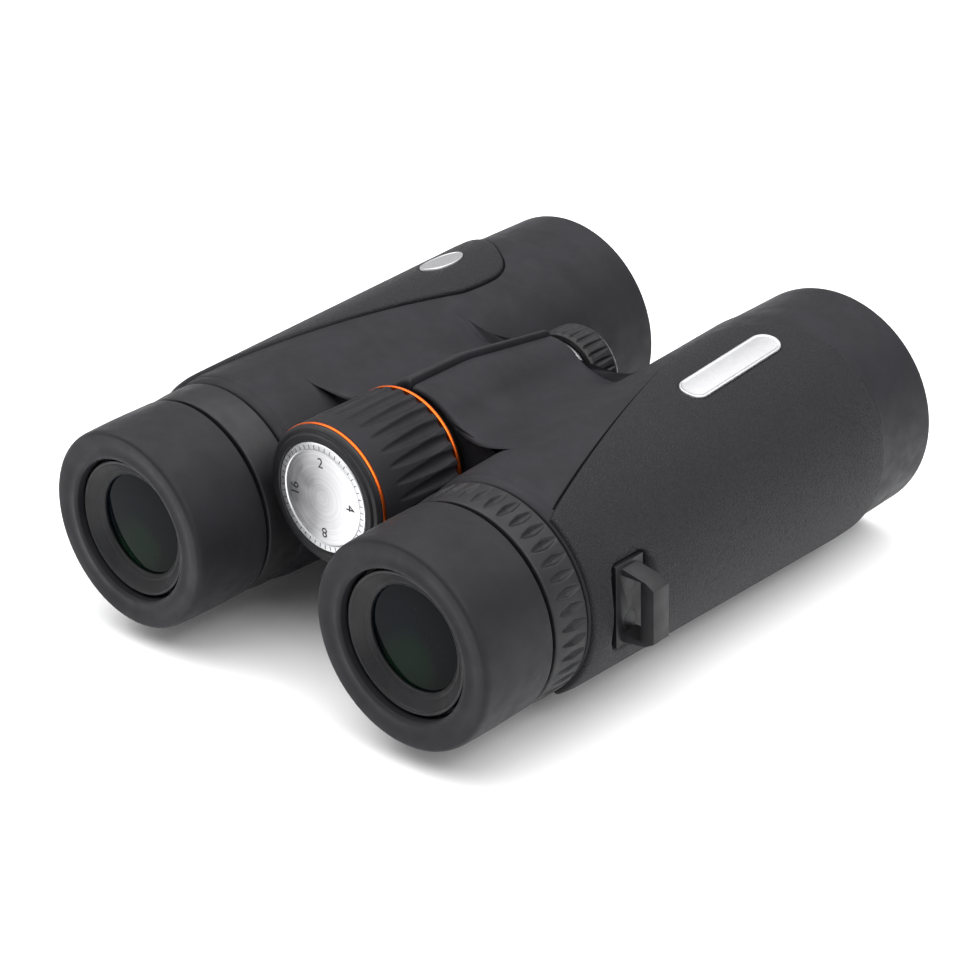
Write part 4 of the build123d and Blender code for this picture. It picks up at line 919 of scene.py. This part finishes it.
def end_sweep(stations, first):
    """How far the bridge's ends and the sleeve beside them are swept to the rear."""
    rear_middle, front_middle = SWEEP_MIDDLES
    rear_fade = np.clip((rear_middle - stations) / (rear_middle - BRIDGE_REAR), 0, 1)
    rear_fade = rear_fade * smooth(stations, SWEEP_REAR, BRIDGE_REAR - 0.5)
    front_fade = np.clip((stations - front_middle) / (BRIDGE_FRONT - front_middle), 0, 1)
    front_fade = front_fade * (1 - smooth(stations, BRIDGE_FRONT + 0.5, SWEEP_FRONT))
    column = np.arange(stations.shape[1])
    on_bridge = np.clip(1 - (column - first) / SWEEP_COLUMNS, 0, 1) ** 1.3
    flank = len(FLANK_COLUMNS) * 0.9
    on_flank = smooth(np.clip((column - (first - flank)) / flank, 0, 1), 0, 1)
    pull = np.where(column < first, on_flank, on_bridge)
    return (-REAR_SWEEP * rear_fade - FRONT_SWEEP * front_fade) * pull[None, :]


def armour_faces(row_count, columns, first, last, end_walls):
    """Faces of the closed grid, with one wall across each end of the bridge."""
    index_of = np.arange(row_count * columns).reshape(row_count, columns)
    wall_first = first + SADDLE_COUNT - 1
    faces = []
    for row in range(row_count):
        following = (row + 1) % row_count
        for col in range(columns):
            beside = (col + 1) % columns
            if row in end_walls and wall_first <= col < last - 1:
                continue
            faces.append((
                int(index_of[row, col]), int(index_of[row, beside]),
                int(index_of[following, beside]), int(index_of[following, col]),
            ))
        if row in end_walls:
            near = index_of[row, wall_first:last].tolist()
            far = index_of[following, wall_first:last].tolist()
            faces.append(tuple(near + far[::-1]))
    return faces


def armour_grid(is_right, s):
    """Points and faces of the armour on the right side: sleeve, hood, bridge and inside."""
    half = panel_border()
    rows, low_row, high_row = armour_rows()
    sample = bridge_section(SWEEP_MIDDLES[0], SADDLE_START_DEG, is_right, s["lip_rise"], 0.0)
    first = len(PANEL_COLUMNS) + len(FLANK_COLUMNS) - 1
    last = first + len(sample)

    theta = np.array([armour_turns(panel_edge_deg(y, half), len(sample)) for _, y in rows])
    columns = theta.shape[1]
    stations = np.repeat([[float(y)] for _, y in rows], columns, 1)
    is_sleeve = np.array([radius is None for radius, _ in rows])[:, None]
    plain = [[float(sleeve_radius(y)) if radius is None else float(radius)] for radius, y in rows]
    radius = np.repeat(plain, columns, 1) - let_in(theta, stations, half) * is_sleeve
    turn = np.radians(theta)
    points = np.stack(
        [HALF_SPACING + radius * np.cos(turn), stations, radius * np.sin(turn)], -1
    )

    insets = dict(enumerate(END_INSETS))
    for row in range(low_row, high_row + 1):
        y = rows[row][1]
        inset = insets.get(row - low_row, 0.0) + insets.get(high_row - row, 0.0)
        saddle_deg = saddle_start_deg(panel_edge_deg(y, half))
        section = bridge_section(y, saddle_deg, is_right, s["lip_rise"], inset)
        points[row, first:last, ::2] = melted(section, y, is_right)

    points[:, :, 1] += end_sweep(stations, first) * is_sleeve
    end_walls = (low_row - 1, high_row)
    return points.reshape(-1, 3), armour_faces(len(rows), columns, first, last, end_walls)


class ArmourOperator(bpy.types.Operator):
    """Build the smooth rubber armour of both halves"""

    bl_idname = "binoculars.armour"
    bl_label = "Armour"

    def execute(self, context):
        s = sizes()
        for side, sign in SIDES:
            points, faces = armour_grid(sign > 0, s)
            points = points * (sign, 1, 1)
            obj = piece(f"{side}_armour_skin", points, faces, "smooth_rubber", 50.0)
            belongs(obj, f"{side}_half", [f"{side}_armour"])
        return {"FINISHED"}


# ---- grip panels, plate and badge ----------------------------------------------------------
def filled(border, holes, spacing, loops):
    """Triangles inside a border and outside its holes: points, triangles and border edges."""
    points = [border] + holes
    edges, start = [], 0
    for loop in points:
        count = len(loop)
        edges += [(start + i, start + (i + 1) % count) for i in range(count)]
        start += count
    extra = list(loops)
    low, high = border.min(0), border.max(0)
    stations = np.arange(low[1] + spacing / 2, high[1], spacing * 0.87)
    for number, station in enumerate(stations):
        arcs = np.arange(low[0] + spacing * (0.25 + 0.5 * (number % 2)), high[0], spacing)
        extra.append(np.stack([arcs, np.full(len(arcs), station)], 1))
    cloud = np.vstack(extra)
    depth = inside_distance(cloud, border)
    for hole in holes:
        depth = np.minimum(depth, -inside_distance(cloud, hole))
    loop_count = sum(len(loop) for loop in loops)
    clear = np.where(np.arange(len(cloud)) < loop_count, 0.02, 1.2 * spacing)
    cloud = cloud[depth > clear]
    everything = np.vstack(points + [cloud])
    made = delaunay_2d_cdt([Vector(p) for p in everything], edges, [], 0, 1e-7, True)
    flat = np.array([tuple(v) for v in made[0]])
    triangles = np.array(made[2])
    middle = flat[triangles].mean(1)
    keep = inside_distance(middle, border) > 0
    for hole in holes:
        keep &= inside_distance(middle, hole) < 0
    return flat, triangles[keep]


def slab(flat, triangles, top, bottom):
    """Closed shell between two curved layers over the same triangles."""
    count = len(flat)
    theta = flat[:, 0] / UNROLLED_RADIUS
    layers = []
    for radius in (top, bottom):
        layers.append(np.stack(
            [HALF_SPACING + radius * np.cos(theta), flat[:, 1], radius * np.sin(theta)], -1
        ))
    faces = [tuple(int(i) for i in t) for t in triangles]
    faces += [tuple(int(i) + count for i in t[::-1]) for t in triangles]
    once = {}
    for t in triangles:
        for i in range(3):
            edge = (int(t[i]), int(t[(i + 1) % 3]))
            if (edge[1], edge[0]) in once:
                del once[(edge[1], edge[0])]
            else:
                once[edge] = True
    faces += [(b, a, a + count, b + count) for a, b in once]
    points = np.vstack(layers)
    used = sorted({i for face in faces for i in face})
    new_index = {old: new for new, old in enumerate(used)}
    return points[used], [tuple(new_index[i] for i in face) for face in faces]


PLATE = {"station": 93.3, "tilt": 77.5, "length": 31.0, "width": 6.5, "slant": 2.0}
BADGE = {"station": 100.0, "tilt": 80.0, "length": 12.0, "width": 7.5, "slant": 0.0}


def plate_border(plate, is_oval, grow=0.0):
    """Border of the long plate or the oval badge, unrolled."""
    half_length, half_width = plate["length"] / 2 + grow, plate["width"] / 2 + grow
    turns = np.linspace(0, 2 * math.pi, 96, endpoint=False)
    if is_oval:
        along, across = half_length * np.sin(turns), half_width * np.cos(turns)
    else:
        straight = half_length - half_width
        along = half_width * np.sin(turns) + straight * np.sign(np.sin(turns))
        across = half_width * np.cos(turns)
        loop = even_border(np.stack([along, across], 1), 0.5)
        along, across = loop[:, 0], loop[:, 1]
    lean = math.radians(plate["slant"])
    u = across * math.cos(lean) + along * math.sin(lean)
    v = along * math.cos(lean) - across * math.sin(lean)
    scale = UNROLLED_RADIUS / float(sleeve_radius(plate["station"]) + 1)
    centre = math.radians(plate["tilt"]) * UNROLLED_RADIUS
    return np.stack([centre + u * scale, plate["station"] + v], 1)


PANEL_EDGE_DROP, PANEL_SINK, PANEL_LIMIT = 0.62, 0.62, 26.08
MOAT_WIDTH, MOAT_DEPTH = 0.16, 0.22
PLATE_RISE, PLATE_SINK, PLATE_LIMIT = 0.38, 0.45, 26.45
PLATE_EDGE, PLATE_EDGE_DROP, PLATE_FIELD_DROP = 0.18, 0.16, 0.13


def panel_layers(flat, border, holes, s, seat):
    """Top and bottom radii of the grip panel over its points, with a moat round the seat."""
    depth = inside_distance(flat, border)
    for hole in holes:
        depth = np.minimum(depth, -inside_distance(flat, hole))
    reach = s["edge_round"]
    inward = 1 - np.clip(depth / reach, 0, 1)
    drop = PANEL_EDGE_DROP * (1 - np.sqrt(np.clip(1 - inward**2, 0, 1)))
    base = sleeve_radius(flat[:, 1])
    moat = np.exp(-((inside_distance(flat, seat) + 0.12) / MOAT_WIDTH) ** 2) * MOAT_DEPTH
    top = base + s["panel_proud"] - drop - moat
    return np.minimum(top, PANEL_LIMIT), base - PANEL_SINK


class GripPanelsOperator(bpy.types.Operator):
    """Build the textured grip panels of both halves"""

    bl_idname = "binoculars.grip_panels"
    bl_label = "Grip panels"

    def execute(self, context):
        s = sizes()
        half = panel_border()
        whole = closed_border(half)
        whole[:, 1] = np.maximum(whole[:, 1], 28.02)
        border = even_border(shift_border(even_border(whole, 0.8), s["panel_groove"]), 0.8)
        border[:, 1] = np.maximum(border[:, 1], 28.05)
        recess = lug_recess_border()
        for side, sign in SIDES:
            plate = plate_border(PLATE, False) if sign > 0 else plate_border(BADGE, True)
            loops = [shift_border(border, inset) for inset in (0.12, 0.3, 0.55, 0.85, 1.4)]
            loops += [shift_border(recess, -inset) for inset in (0.12, 0.3, 0.55, 0.85)]
            moat = (0.2, 0.05, -0.05, -0.12, -0.2, -0.35)
            loops += [shift_border(plate, inset) for inset in moat]
            flat, triangles = filled(border, [recess], 1.0, loops)
            top, bottom = panel_layers(flat, border, [recess], s, plate)
            points, faces = slab(flat, triangles, top, bottom)
            obj = piece(f"{side}_grip_skin", points * (sign, 1, 1), faces, "grip_rubber", 50.0)
            belongs(obj, f"{side}_half", [f"{side}_grip_panel"])
        return {"FINISHED"}


class PlatesOperator(bpy.types.Operator):
    """Build the bare name plate and the bare oval badge"""

    bl_idname = "binoculars.plates"
    bl_label = "Plate and badge"

    def execute(self, context):
        s = sizes()
        for name, body, node, plate, is_oval, sign in (
            ("name_plate_skin", "right_half", "right_name_plate", PLATE, False, 1),
            ("badge_skin", "left_half", "left_badge", BADGE, True, -1),
        ):
            border = plate_border(plate, is_oval)
            loops = [shift_border(border, inset) for inset in (0.06, 0.14, 0.26, 0.4, 0.5, 0.6, 0.75)]
            flat, triangles = filled(border, [], 0.8, loops)
            depth = inside_distance(flat, border)
            inward = 1 - np.clip(depth / PLATE_EDGE, 0, 1)
            drop = PLATE_EDGE_DROP * (1 - np.sqrt(np.clip(1 - inward**2, 0, 1)))
            field = smooth(depth, 0.38, 0.62) * PLATE_FIELD_DROP
            base = sleeve_radius(flat[:, 1]) + s["panel_proud"]
            top = np.minimum(base + (PLATE_RISE - drop - field), PLATE_LIMIT)
            points, faces = slab(flat, triangles, top, base - PLATE_SINK)
            obj = piece(name, points * (sign, 1, 1), faces, "plate_metal", 50.0)
            belongs(obj, body, [node])
        return {"FINISHED"}


# ---- strap lugs ----------------------------------------------------------------------------
def bevelled_copy(node, name, width, segments, material):
    """Copy of a CAD node with its flat faces joined again and its edges rounded."""
    mesh = NODES[node].data.copy()
    shape = bmesh.new()
    shape.from_mesh(mesh)
    bmesh.ops.remove_doubles(shape, verts=shape.verts, dist=1e-6)
    bmesh.ops.dissolve_limit(
        shape, angle_limit=math.radians(4), verts=shape.verts, edges=shape.edges
    )
    bmesh.ops.recalc_face_normals(shape, faces=shape.faces)
    shape.to_mesh(mesh)
    shape.free()
    mesh.materials.clear()
    mesh.materials.append(MATERIALS[material])
    obj = bpy.data.objects.new(name, mesh)
    bpy.context.scene.collection.objects.link(obj)
    bevel = obj.modifiers.new("rounding", "BEVEL")
    bevel.width = width * MM
    bevel.segments = segments
    bevel.limit_method = "ANGLE"
    bevel.angle_limit = math.radians(25)
    bevel.use_clamp_overlap = True
    bpy.context.view_layer.update()
    plain_mesh(obj)
    obj.data.shade_smooth()
    obj.data.set_sharp_from_angle(angle=math.radians(35))
    return obj


class LugsOperator(bpy.types.Operator):
    """Build the strap lugs"""

    bl_idname = "binoculars.strap_lugs"
    bl_label = "Strap lugs"

    def execute(self, context):
        for side, _ in SIDES:
            lug = bevelled_copy(f"{side}_strap_lug", f"{side}_lug_skin", 0.45, 4, "black_plastic")
            belongs(lug, f"{side}_half", [f"{side}_strap_lug"])
        return {"FINISHED"}


# ---- eyecups and eyepieces -----------------------------------------------------------------
class EyecupsOperator(bpy.types.Operator):
    """Build the soft rings of both eyecups"""

    bl_idname = "binoculars.eyecups"
    bl_label = "Eyecups"

    def execute(self, context):
        s = sizes()
        for side, sign in SIDES:
            cup = turned_piece(
                f"{side}_eyecup_skin",
                [
                    (15.2, 3.0, 0.2), (15.2, 0.35, 0.35), (15.9, 0.05, 0.4), (17.4, 0.3, 0.8),
                    (19.2, 0.0, 0.8), (21.2, 0.0, s["eyecup_round"]), (21.38, 5.0, 1.0),
                    (21.5, 9.0, 1.5), (21.5, 18.0, 0.45), (19.7, 18.0, 0.25), (19.6, 3.0, 0.2),
                ],
                barrel_centre(sign), "eyecup_rubber", 256, 1.2,
            )
            belongs(cup, f"{side}_eyecup", [f"{side}_eyecup_rubber"])
        return {"FINISHED"}


class EyepiecesOperator(bpy.types.Operator):
    """Build the eyepiece housings, eye lenses, dioptre ring and fixed ring"""

    bl_idname = "binoculars.eyepieces"
    bl_label = "Eyepieces"

    def execute(self, context):
        s = sizes()
        for side, sign in SIDES:
            centre = barrel_centre(sign)
            housing = turned_piece(
                f"{side}_housing_skin",
                [
                    (14.45, 1.5, 0.25), (14.5, 18.5, 0), (18.6, 18.5, 0.2), (18.6, 28.0, 0),
                    (17.8, 28.0, 0), (17.8, 32.0, 0), (12.05, 32.0, 0), (12.05, 18.7, 0),
                    (11.5, 18.7, 0), (11.5, 4.4, 0), (10.7, 4.35, 0.1), (10.7, 3.8, 0.25),
                    (11.6, 3.15, 0.1), (11.75, 3.25, 0.1), (12.3, 2.8, 0.1), (13.5, 1.9, 0.15),
                    (13.9, 1.5, 0.2),
                ],
                centre, "black_plastic",
            )
            belongs(housing, f"{side}_half", [f"{side}_eyepiece_housing"])
            dome = [(r, 4.12 + 0.3 * (r / 11.4) ** 2) for r in np.linspace(0.8, 11.2, 14)]
            dome = [(0.0, 4.12), *dome, (11.45, 4.6), (11.45, 9.0), (0.0, 10.2)]
            points, faces = turned(dome, centre, 192)
            lens = piece(f"{side}_eye_lens_skin", points, faces, f"coated_glass_{side}")
            belongs(lens, f"{side}_half", [f"{side}_eye_lens"])
        fixed = turned_piece(
            "left_fixed_ring_skin",
            [
                (18.6, 19.0, 0.2), (21.35, 19.0, 0.45), (21.75, 23.5, 0.5), (21.8, 27.5, 0.35),
                (18.6, 27.5, 0.1),
            ],
            barrel_centre(-1), "ring_plastic", 256, 1.0,
        )
        belongs(fixed, "left_half", ["left_fixed_ring"])
        ring = turned_piece(
            "dioptre_ring_skin",
            [
                (18.65, 19.0, 0.2), (21.35, 19.0, 0.45), (21.75, 23.5, 0.5), (21.8, 27.5, 0.3),
                (18.65, 27.5, 0.1),
            ],
            barrel_centre(1), "ring_plastic", s["pocket_count"] * 20, 0.3,
        )
        carve(
            ring, barrel_centre(1), s["pocket_count"], s["pocket_depth"], 20.6, 23.9, 27.2, 0.62,
            20.2, "ring_plastic",
        )
        belongs(ring, "dioptre_ring", ["dioptre_ring"])
        return {"FINISHED"}


# ---- objectives ----------------------------------------------------------------------------
class ObjectivesOperator(bpy.types.Operator):
    """Build the objective lenses and their ridged retaining rings"""

    bl_idname = "binoculars.objectives"
    bl_label = "Objectives"

    def execute(self, context):
        for side, sign in SIDES:
            centre = barrel_centre(sign)
            ridges = [(20.9, 127.9, 0.1)]
            ridges += [(20.9 if k % 2 else 21.15, 128.1 + 0.28 * k, 0.06) for k in range(7)]
            ridges += [(20.95, 130.1, 0.1), (21.95, 130.1, 0.1), (21.95, 127.6, 0)]
            ring = turned_piece(f"{side}_objective_ring_skin", ridges, centre, "black_aluminium", 192)
            belongs(ring, f"{side}_half", [f"{side}_objective_ring"])
            dome = [(r, 129.1 - 1.6 * (r / 21.95) ** 2) for r in np.linspace(1.0, 21.95, 20)]
            dome = [(0.0, 129.1), *dome, (21.95, 122.5), (0.0, 120.5)]
            points, faces = turned(dome, centre, 192)
            lens = piece(f"{side}_objective_skin", points, faces, f"coated_glass_{side}")
            belongs(lens, f"{side}_half", [f"{side}_objective_crown"])
        return {"FINISHED"}


# ---- focus knob and hinge ------------------------------------------------------------------
TICK_WIDTH, TICK_RISE, TICK_RADII, TICK_STATION = 0.14, 0.03, (10.25, 11.1), 18.73
NUMBER_SIZE, NUMBER_HALF_RISE, NUMBER_RADIUS, NUMBER_STATION = 3.0, 0.02, 7.4, 18.80
DISC_NUMBERS = (("2", 90), ("4", 0), ("8", 270), ("16", 180))
KNOB_RINGS = (("knob_ring_eyepiece_end", 20.4), ("knob_ring_bridge_end", 42.0))


class KnobOperator(bpy.types.Operator):
    """Build the focus knob: rim, disc with its scale, accent rings and fluted grip"""

    bl_idname = "binoculars.focus_knob"
    bl_label = "Focus knob"

    def execute(self, context):
        s = sizes()
        hub = turned_piece(
            "knob_rim_skin",
            [
                (0.0, 19.8, 0), (11.65, 19.8, 0), (11.65, 18.95, 0.1), (11.9, 18.75, 0.12),
                (12.9, 18.72, 0.15), (13.35, 19.2, 0.15), (14.1, 19.25, 0.2), (14.75, 19.9, 0.25),
                (14.8, 20.4, 0.1), (13.5, 20.4, 0), (13.5, 43.3, 0.1), (11.7, 43.3, 0.1),
                (11.7, 21.9, 0), (0.0, 21.9, 0),
            ],
            HINGE_CENTRE, "black_plastic", 224,
        )
        belongs(hub, "focus_knob", ["knob_hub"])
        disc = turned_piece(
            "knob_disc_skin",
            [
                (0.0, 18.82, 0), (9.6, 18.82, 0.1), (9.75, 18.92, 0.1), (9.95, 18.92, 0.1),
                (10.1, 18.78, 0.1), (11.35, 18.74, 0.15), (11.58, 19.0, 0.1), (11.58, 19.75, 0),
                (0.0, 19.75, 0),
            ],
            HINGE_CENTRE, "silver_disc", 224,
        )
        belongs(disc, "focus_knob", ["knob_disc"])
        for name, rear in KNOB_RINGS:
            ring = turned_piece(
                f"{name}_skin",
                [
                    (13.5, rear, 0), (14.9, rear, 0.18), (15.0, rear + 0.4, 0.1),
                    (14.9, rear + 0.8, 0.18), (13.5, rear + 0.8, 0),
                ],
                HINGE_CENTRE, "orange_anodised", 224,
            )
            belongs(ring, "focus_knob", [name])
        grip = turned_piece(
            "knob_grip_skin",
            [
                (13.5, 21.2, 0), (14.95, 21.2, 0.35), (15.0, 26.0, 0.5), (14.95, 42.0, 0.35),
                (13.5, 42.0, 0),
            ],
            HINGE_CENTRE, "knob_rubber", s["flute_count"] * 14, 0.5,
        )
        carve(
            grip, HINGE_CENTRE, s["flute_count"], s["flute_depth"], 25.0, 37.5, 46.0, 0.84, 14.0,
            "knob_rubber",
        )
        belongs(grip, "focus_knob", ["knob_grip"])
        lock = turned_piece(
            "knob_lock_skin",
            [
                (13.5, 42.8, 0), (14.5, 42.8, 0.1), (14.6, 43.0, 0.1), (14.3, 43.3, 0.15),
                (13.5, 43.3, 0),
            ],
            HINGE_CENTRE, "black_plastic", 192,
        )
        belongs(lock, "focus_knob", ["knob_lock_ring"])
        self.scale_marks(s)
        return {"FINISHED"}

    def scale_marks(self, s):
        """Ticks and plain numbers on the disc."""
        half = TICK_WIDTH / 2 * MM
        lengthwise = [radius * MM for radius in TICK_RADII]
        rise = (0.0, TICK_RISE * MM)
        corners = [(x, y, z) for x in lengthwise for y in rise for z in (-half, half)]
        faces = [(0, 1, 3, 2), (4, 6, 7, 5), (0, 4, 5, 1), (2, 3, 7, 6), (0, 2, 6, 4), (1, 5, 7, 3)]
        mesh = bpy.data.meshes.new("knob_scale_skin")
        lifted = [(x, y + station_y(TICK_STATION), z) for x, y, z in corners]
        mesh.from_pydata(lifted, [], faces)
        mesh.materials.append(MATERIALS["scale_ink"])
        ticks = bpy.data.objects.new("knob_scale_skin", mesh)
        bpy.context.scene.collection.objects.link(ticks)
        apply_tree(
            ticks, TREES["array"], count=s["tick_count"], centre_x=0.0,
            centre_z=(HINGE_Z + AXIS_HEIGHT) * MM, material=MATERIALS["scale_ink"],
        )
        turn_outwards(ticks.data)
        belongs(ticks, "focus_knob", [])
        for number, (text, degrees) in enumerate(DISC_NUMBERS):
            belongs(
                disc_number(f"knob_number_{number + 1}_skin", text, degrees), "focus_knob", [],
            )


def disc_number(name, text, degrees):
    """Plain raised number on the knob's disc, at an angle from +X."""
    curve = bpy.data.curves.new(name, "FONT")
    curve.body = text
    curve.size = NUMBER_SIZE * MM
    curve.extrude = NUMBER_HALF_RISE * MM
    curve.align_x, curve.align_y = "CENTER", "CENTER"
    words = bpy.data.objects.new(name, curve)
    bpy.context.scene.collection.objects.link(words)
    bpy.context.view_layer.update()
    graph = bpy.context.evaluated_depsgraph_get()
    mesh = bpy.data.meshes.new_from_object(words.evaluated_get(graph))
    bpy.data.objects.remove(words)
    turn = math.radians(degrees)
    reach = NUMBER_RADIUS * MM
    hinge_height = (HINGE_Z + AXIS_HEIGHT) * MM
    centre = Vector((
        reach * math.cos(turn), station_y(NUMBER_STATION), hinge_height + reach * math.sin(turn)
    ))
    upright = Matrix.Rotation(math.pi / 2, 4, "X")
    spin = Matrix.Rotation(-(turn - math.pi / 2), 4, "Y")
    mesh.transform(Matrix.Translation(centre) @ spin @ upright)
    turn_outwards(mesh, 1e-7)
    mesh.materials.clear()
    mesh.materials.append(MATERIALS["scale_ink"])
    obj = bpy.data.objects.new(name, mesh)
    bpy.context.scene.collection.objects.link(obj)
    return obj


class HingeOperator(bpy.types.Operator):
    """Build the ribbed tripod cap on the hinge's front end"""

    bl_idname = "binoculars.hinge"
    bl_label = "Hinge"

    def execute(self, context):
        s = sizes()
        cap = turned_piece(
            "tripod_cap_skin",
            [
                (6.05, 91.1, 0), (9.7, 91.1, 0.4), (10.0, 92.0, 0.3), (10.0, 98.0, 0.8),
                (9.0, 99.3, 0.7), (7.2, 99.9, 0.6), (0.0, 99.9, 0), (0.0, 97.6, 0), (6.05, 97.6, 0),
            ],
            HINGE_CENTRE, "black_plastic", s["rib_count"] * 12, 0.5,
        )
        carve(
            cap, HINGE_CENTRE, s["rib_count"], s["rib_depth"], 91.6, 93.0, 99.0, 0.5, 9.3,
            "black_plastic",
        )
        belongs(cap, "tripod_cap", ["tripod_cap"])
        return {"FINISHED"}


# ---- CAD nodes that stay shown -------------------------------------------------------------
class InnerPartsOperator(bpy.types.Operator):
    """Give every CAD node that stays shown its finish"""

    bl_idname = "binoculars.inner_parts"
    bl_label = "Inner parts"

    def execute(self, context):
        slot_of = {row["node"]: row["material_slot"] for row in frame["record"]["subparts"]}
        for name, node in NODES.items():
            slot = slot_of[name]
            material = MATERIALS.get(slot) or MATERIALS["optical_glass"]
            if name.endswith("lug_screws"):
                material = MATERIALS["black_steel"]
            node.data.materials.clear()
            node.data.materials.append(material)
        return {"FINISHED"}


# ---- stage ---------------------------------------------------------------------------------
CAMERA_AZIMUTH, CAMERA_ELEVATION, CAMERA_ROLL = 42.345, 26.03, -2.026
CAMERA_PLACE = (0.31756, -0.355575, 0.25645)
CAMERA_LENS, CAMERA_SENSOR = 95.17, 36.0
CAMERA_SHIFT = (0.0084, -0.0068)
FLOOR_HALF = 4.0
WORLD_STRENGTH = 0.5
# Name, place, point it faces, width and watts of each soft light.
LIGHTS = (
    ("overhead_light", (0.10, 0.05, 1.5), (0, 0, 0), 2.8, 62.0),
    ("side_light", (-0.9, -0.4, 0.9), (0, 0, 0.02), 0.7, 4.0),
    ("front_light", (1.2, -0.2, 0.9), (0, 0, 0.02), 0.8, 8.0),
)


class StageOperator(bpy.types.Operator):
    """Set up the pale floor, the studio light and the camera"""

    bl_idname = "binoculars.stage"
    bl_label = "Stage"

    def execute(self, context):
        half = FLOOR_HALF
        mesh = bpy.data.meshes.new("studio_floor")
        corners = [(-half, -half, 0), (half, -half, 0), (half, half, 0), (-half, half, 0)]
        mesh.from_pydata(corners, [], [(0, 1, 2, 3)])
        mesh.materials.append(pale_floor("studio_floor", tint("backdrop")))
        floor = bpy.data.objects.new("studio_floor", mesh)
        context.scene.collection.objects.link(floor)
        self.add_camera(context)
        for light in LIGHTS:
            self.add_light(*light)
        world = bpy.data.worlds.new("studio_world")
        context.scene.world = world
        world.use_nodes = True
        back = world.node_tree.nodes["Background"]
        back.inputs["Color"].default_value = (1.0, 1.0, 1.0, 1.0)
        back.inputs["Strength"].default_value = WORLD_STRENGTH
        context.scene.view_settings.view_transform = "Standard"
        return {"FINISHED"}

    def add_camera(self, context):
        """Camera at the viewing angle."""
        data = bpy.data.cameras.new("studio_camera")
        data.lens = CAMERA_LENS
        data.sensor_width = CAMERA_SENSOR
        data.shift_x, data.shift_y = CAMERA_SHIFT
        data.clip_start = 0.01
        a, e = math.radians(CAMERA_AZIMUTH), math.radians(CAMERA_ELEVATION)
        back = Vector((math.sin(a) * math.cos(e), -math.cos(a) * math.cos(e), math.sin(e)))
        right = Vector((math.cos(a), math.sin(a), 0.0))
        above = back.cross(right)
        roll = math.radians(CAMERA_ROLL)
        x_axis = right * math.cos(roll) + above * math.sin(roll)
        y_axis = above * math.cos(roll) - right * math.sin(roll)
        turn = Matrix((x_axis, y_axis, back)).transposed().to_4x4()
        camera = bpy.data.objects.new("studio_camera", data)
        camera.matrix_world = Matrix.Translation(CAMERA_PLACE) @ turn
        context.scene.collection.objects.link(camera)
        context.scene.camera = camera

    def add_light(self, name, place, target, size, power):
        """Square soft light that faces a point."""
        data = bpy.data.lights.new(name, "AREA")
        data.shape = "SQUARE"
        data.size = size
        data.energy = power
        lamp = bpy.data.objects.new(name, data)
        lamp.location = place
        lamp.rotation_euler = (Vector(target) - Vector(place)).to_track_quat("-Z", "Y").to_euler()
        bpy.context.scene.collection.objects.link(lamp)


class BinocularsPanel(bpy.types.Panel):
    """Sidebar panel with the binoculars' pieces and settings"""

    bl_idname = "VIEW3D_PT_binoculars"
    bl_label = "Binoculars"
    bl_space_type = "VIEW_3D"
    bl_region_type = "UI"
    bl_category = "Binoculars"

    def draw(self, context):
        layout = self.layout
        for operator in OPERATORS:
            layout.operator(operator.bl_idname)
        for group in (context.scene.binocular_sizes, context.scene.binocular_colours):
            box = layout.box()
            for name in group.__annotations__:
                box.prop(group, name)


OPERATORS = (
    InnerPartsOperator, ArmourOperator, GripPanelsOperator, PlatesOperator, LugsOperator,
    EyecupsOperator, EyepiecesOperator, ObjectivesOperator, KnobOperator, HingeOperator,
    StageOperator,
)
CLASSES = (BinocularSizes, BinocularColours, *OPERATORS, BinocularsPanel)


def register():
    """Register the classes and the scene's settings."""
    for cls in CLASSES:
        bpy.utils.register_class(cls)
    bpy.types.Scene.binocular_sizes = PointerProperty(type=BinocularSizes)
    bpy.types.Scene.binocular_colours = PointerProperty(type=BinocularColours)


def unregister():
    """Remove the scene's settings and the classes."""
    del bpy.types.Scene.binocular_sizes
    del bpy.types.Scene.binocular_colours
    for cls in reversed(CLASSES):
        bpy.utils.unregister_class(cls)


def main():
    """Build every piece and the stage."""
    register()
    make_materials()
    TREES.update(pockets=pocket_tree(), array=array_tree())
    for operator in OPERATORS:
        group, name = operator.bl_idname.split(".")
        getattr(getattr(bpy.ops, group), name)()


if __name__ == "__main__":
    main()
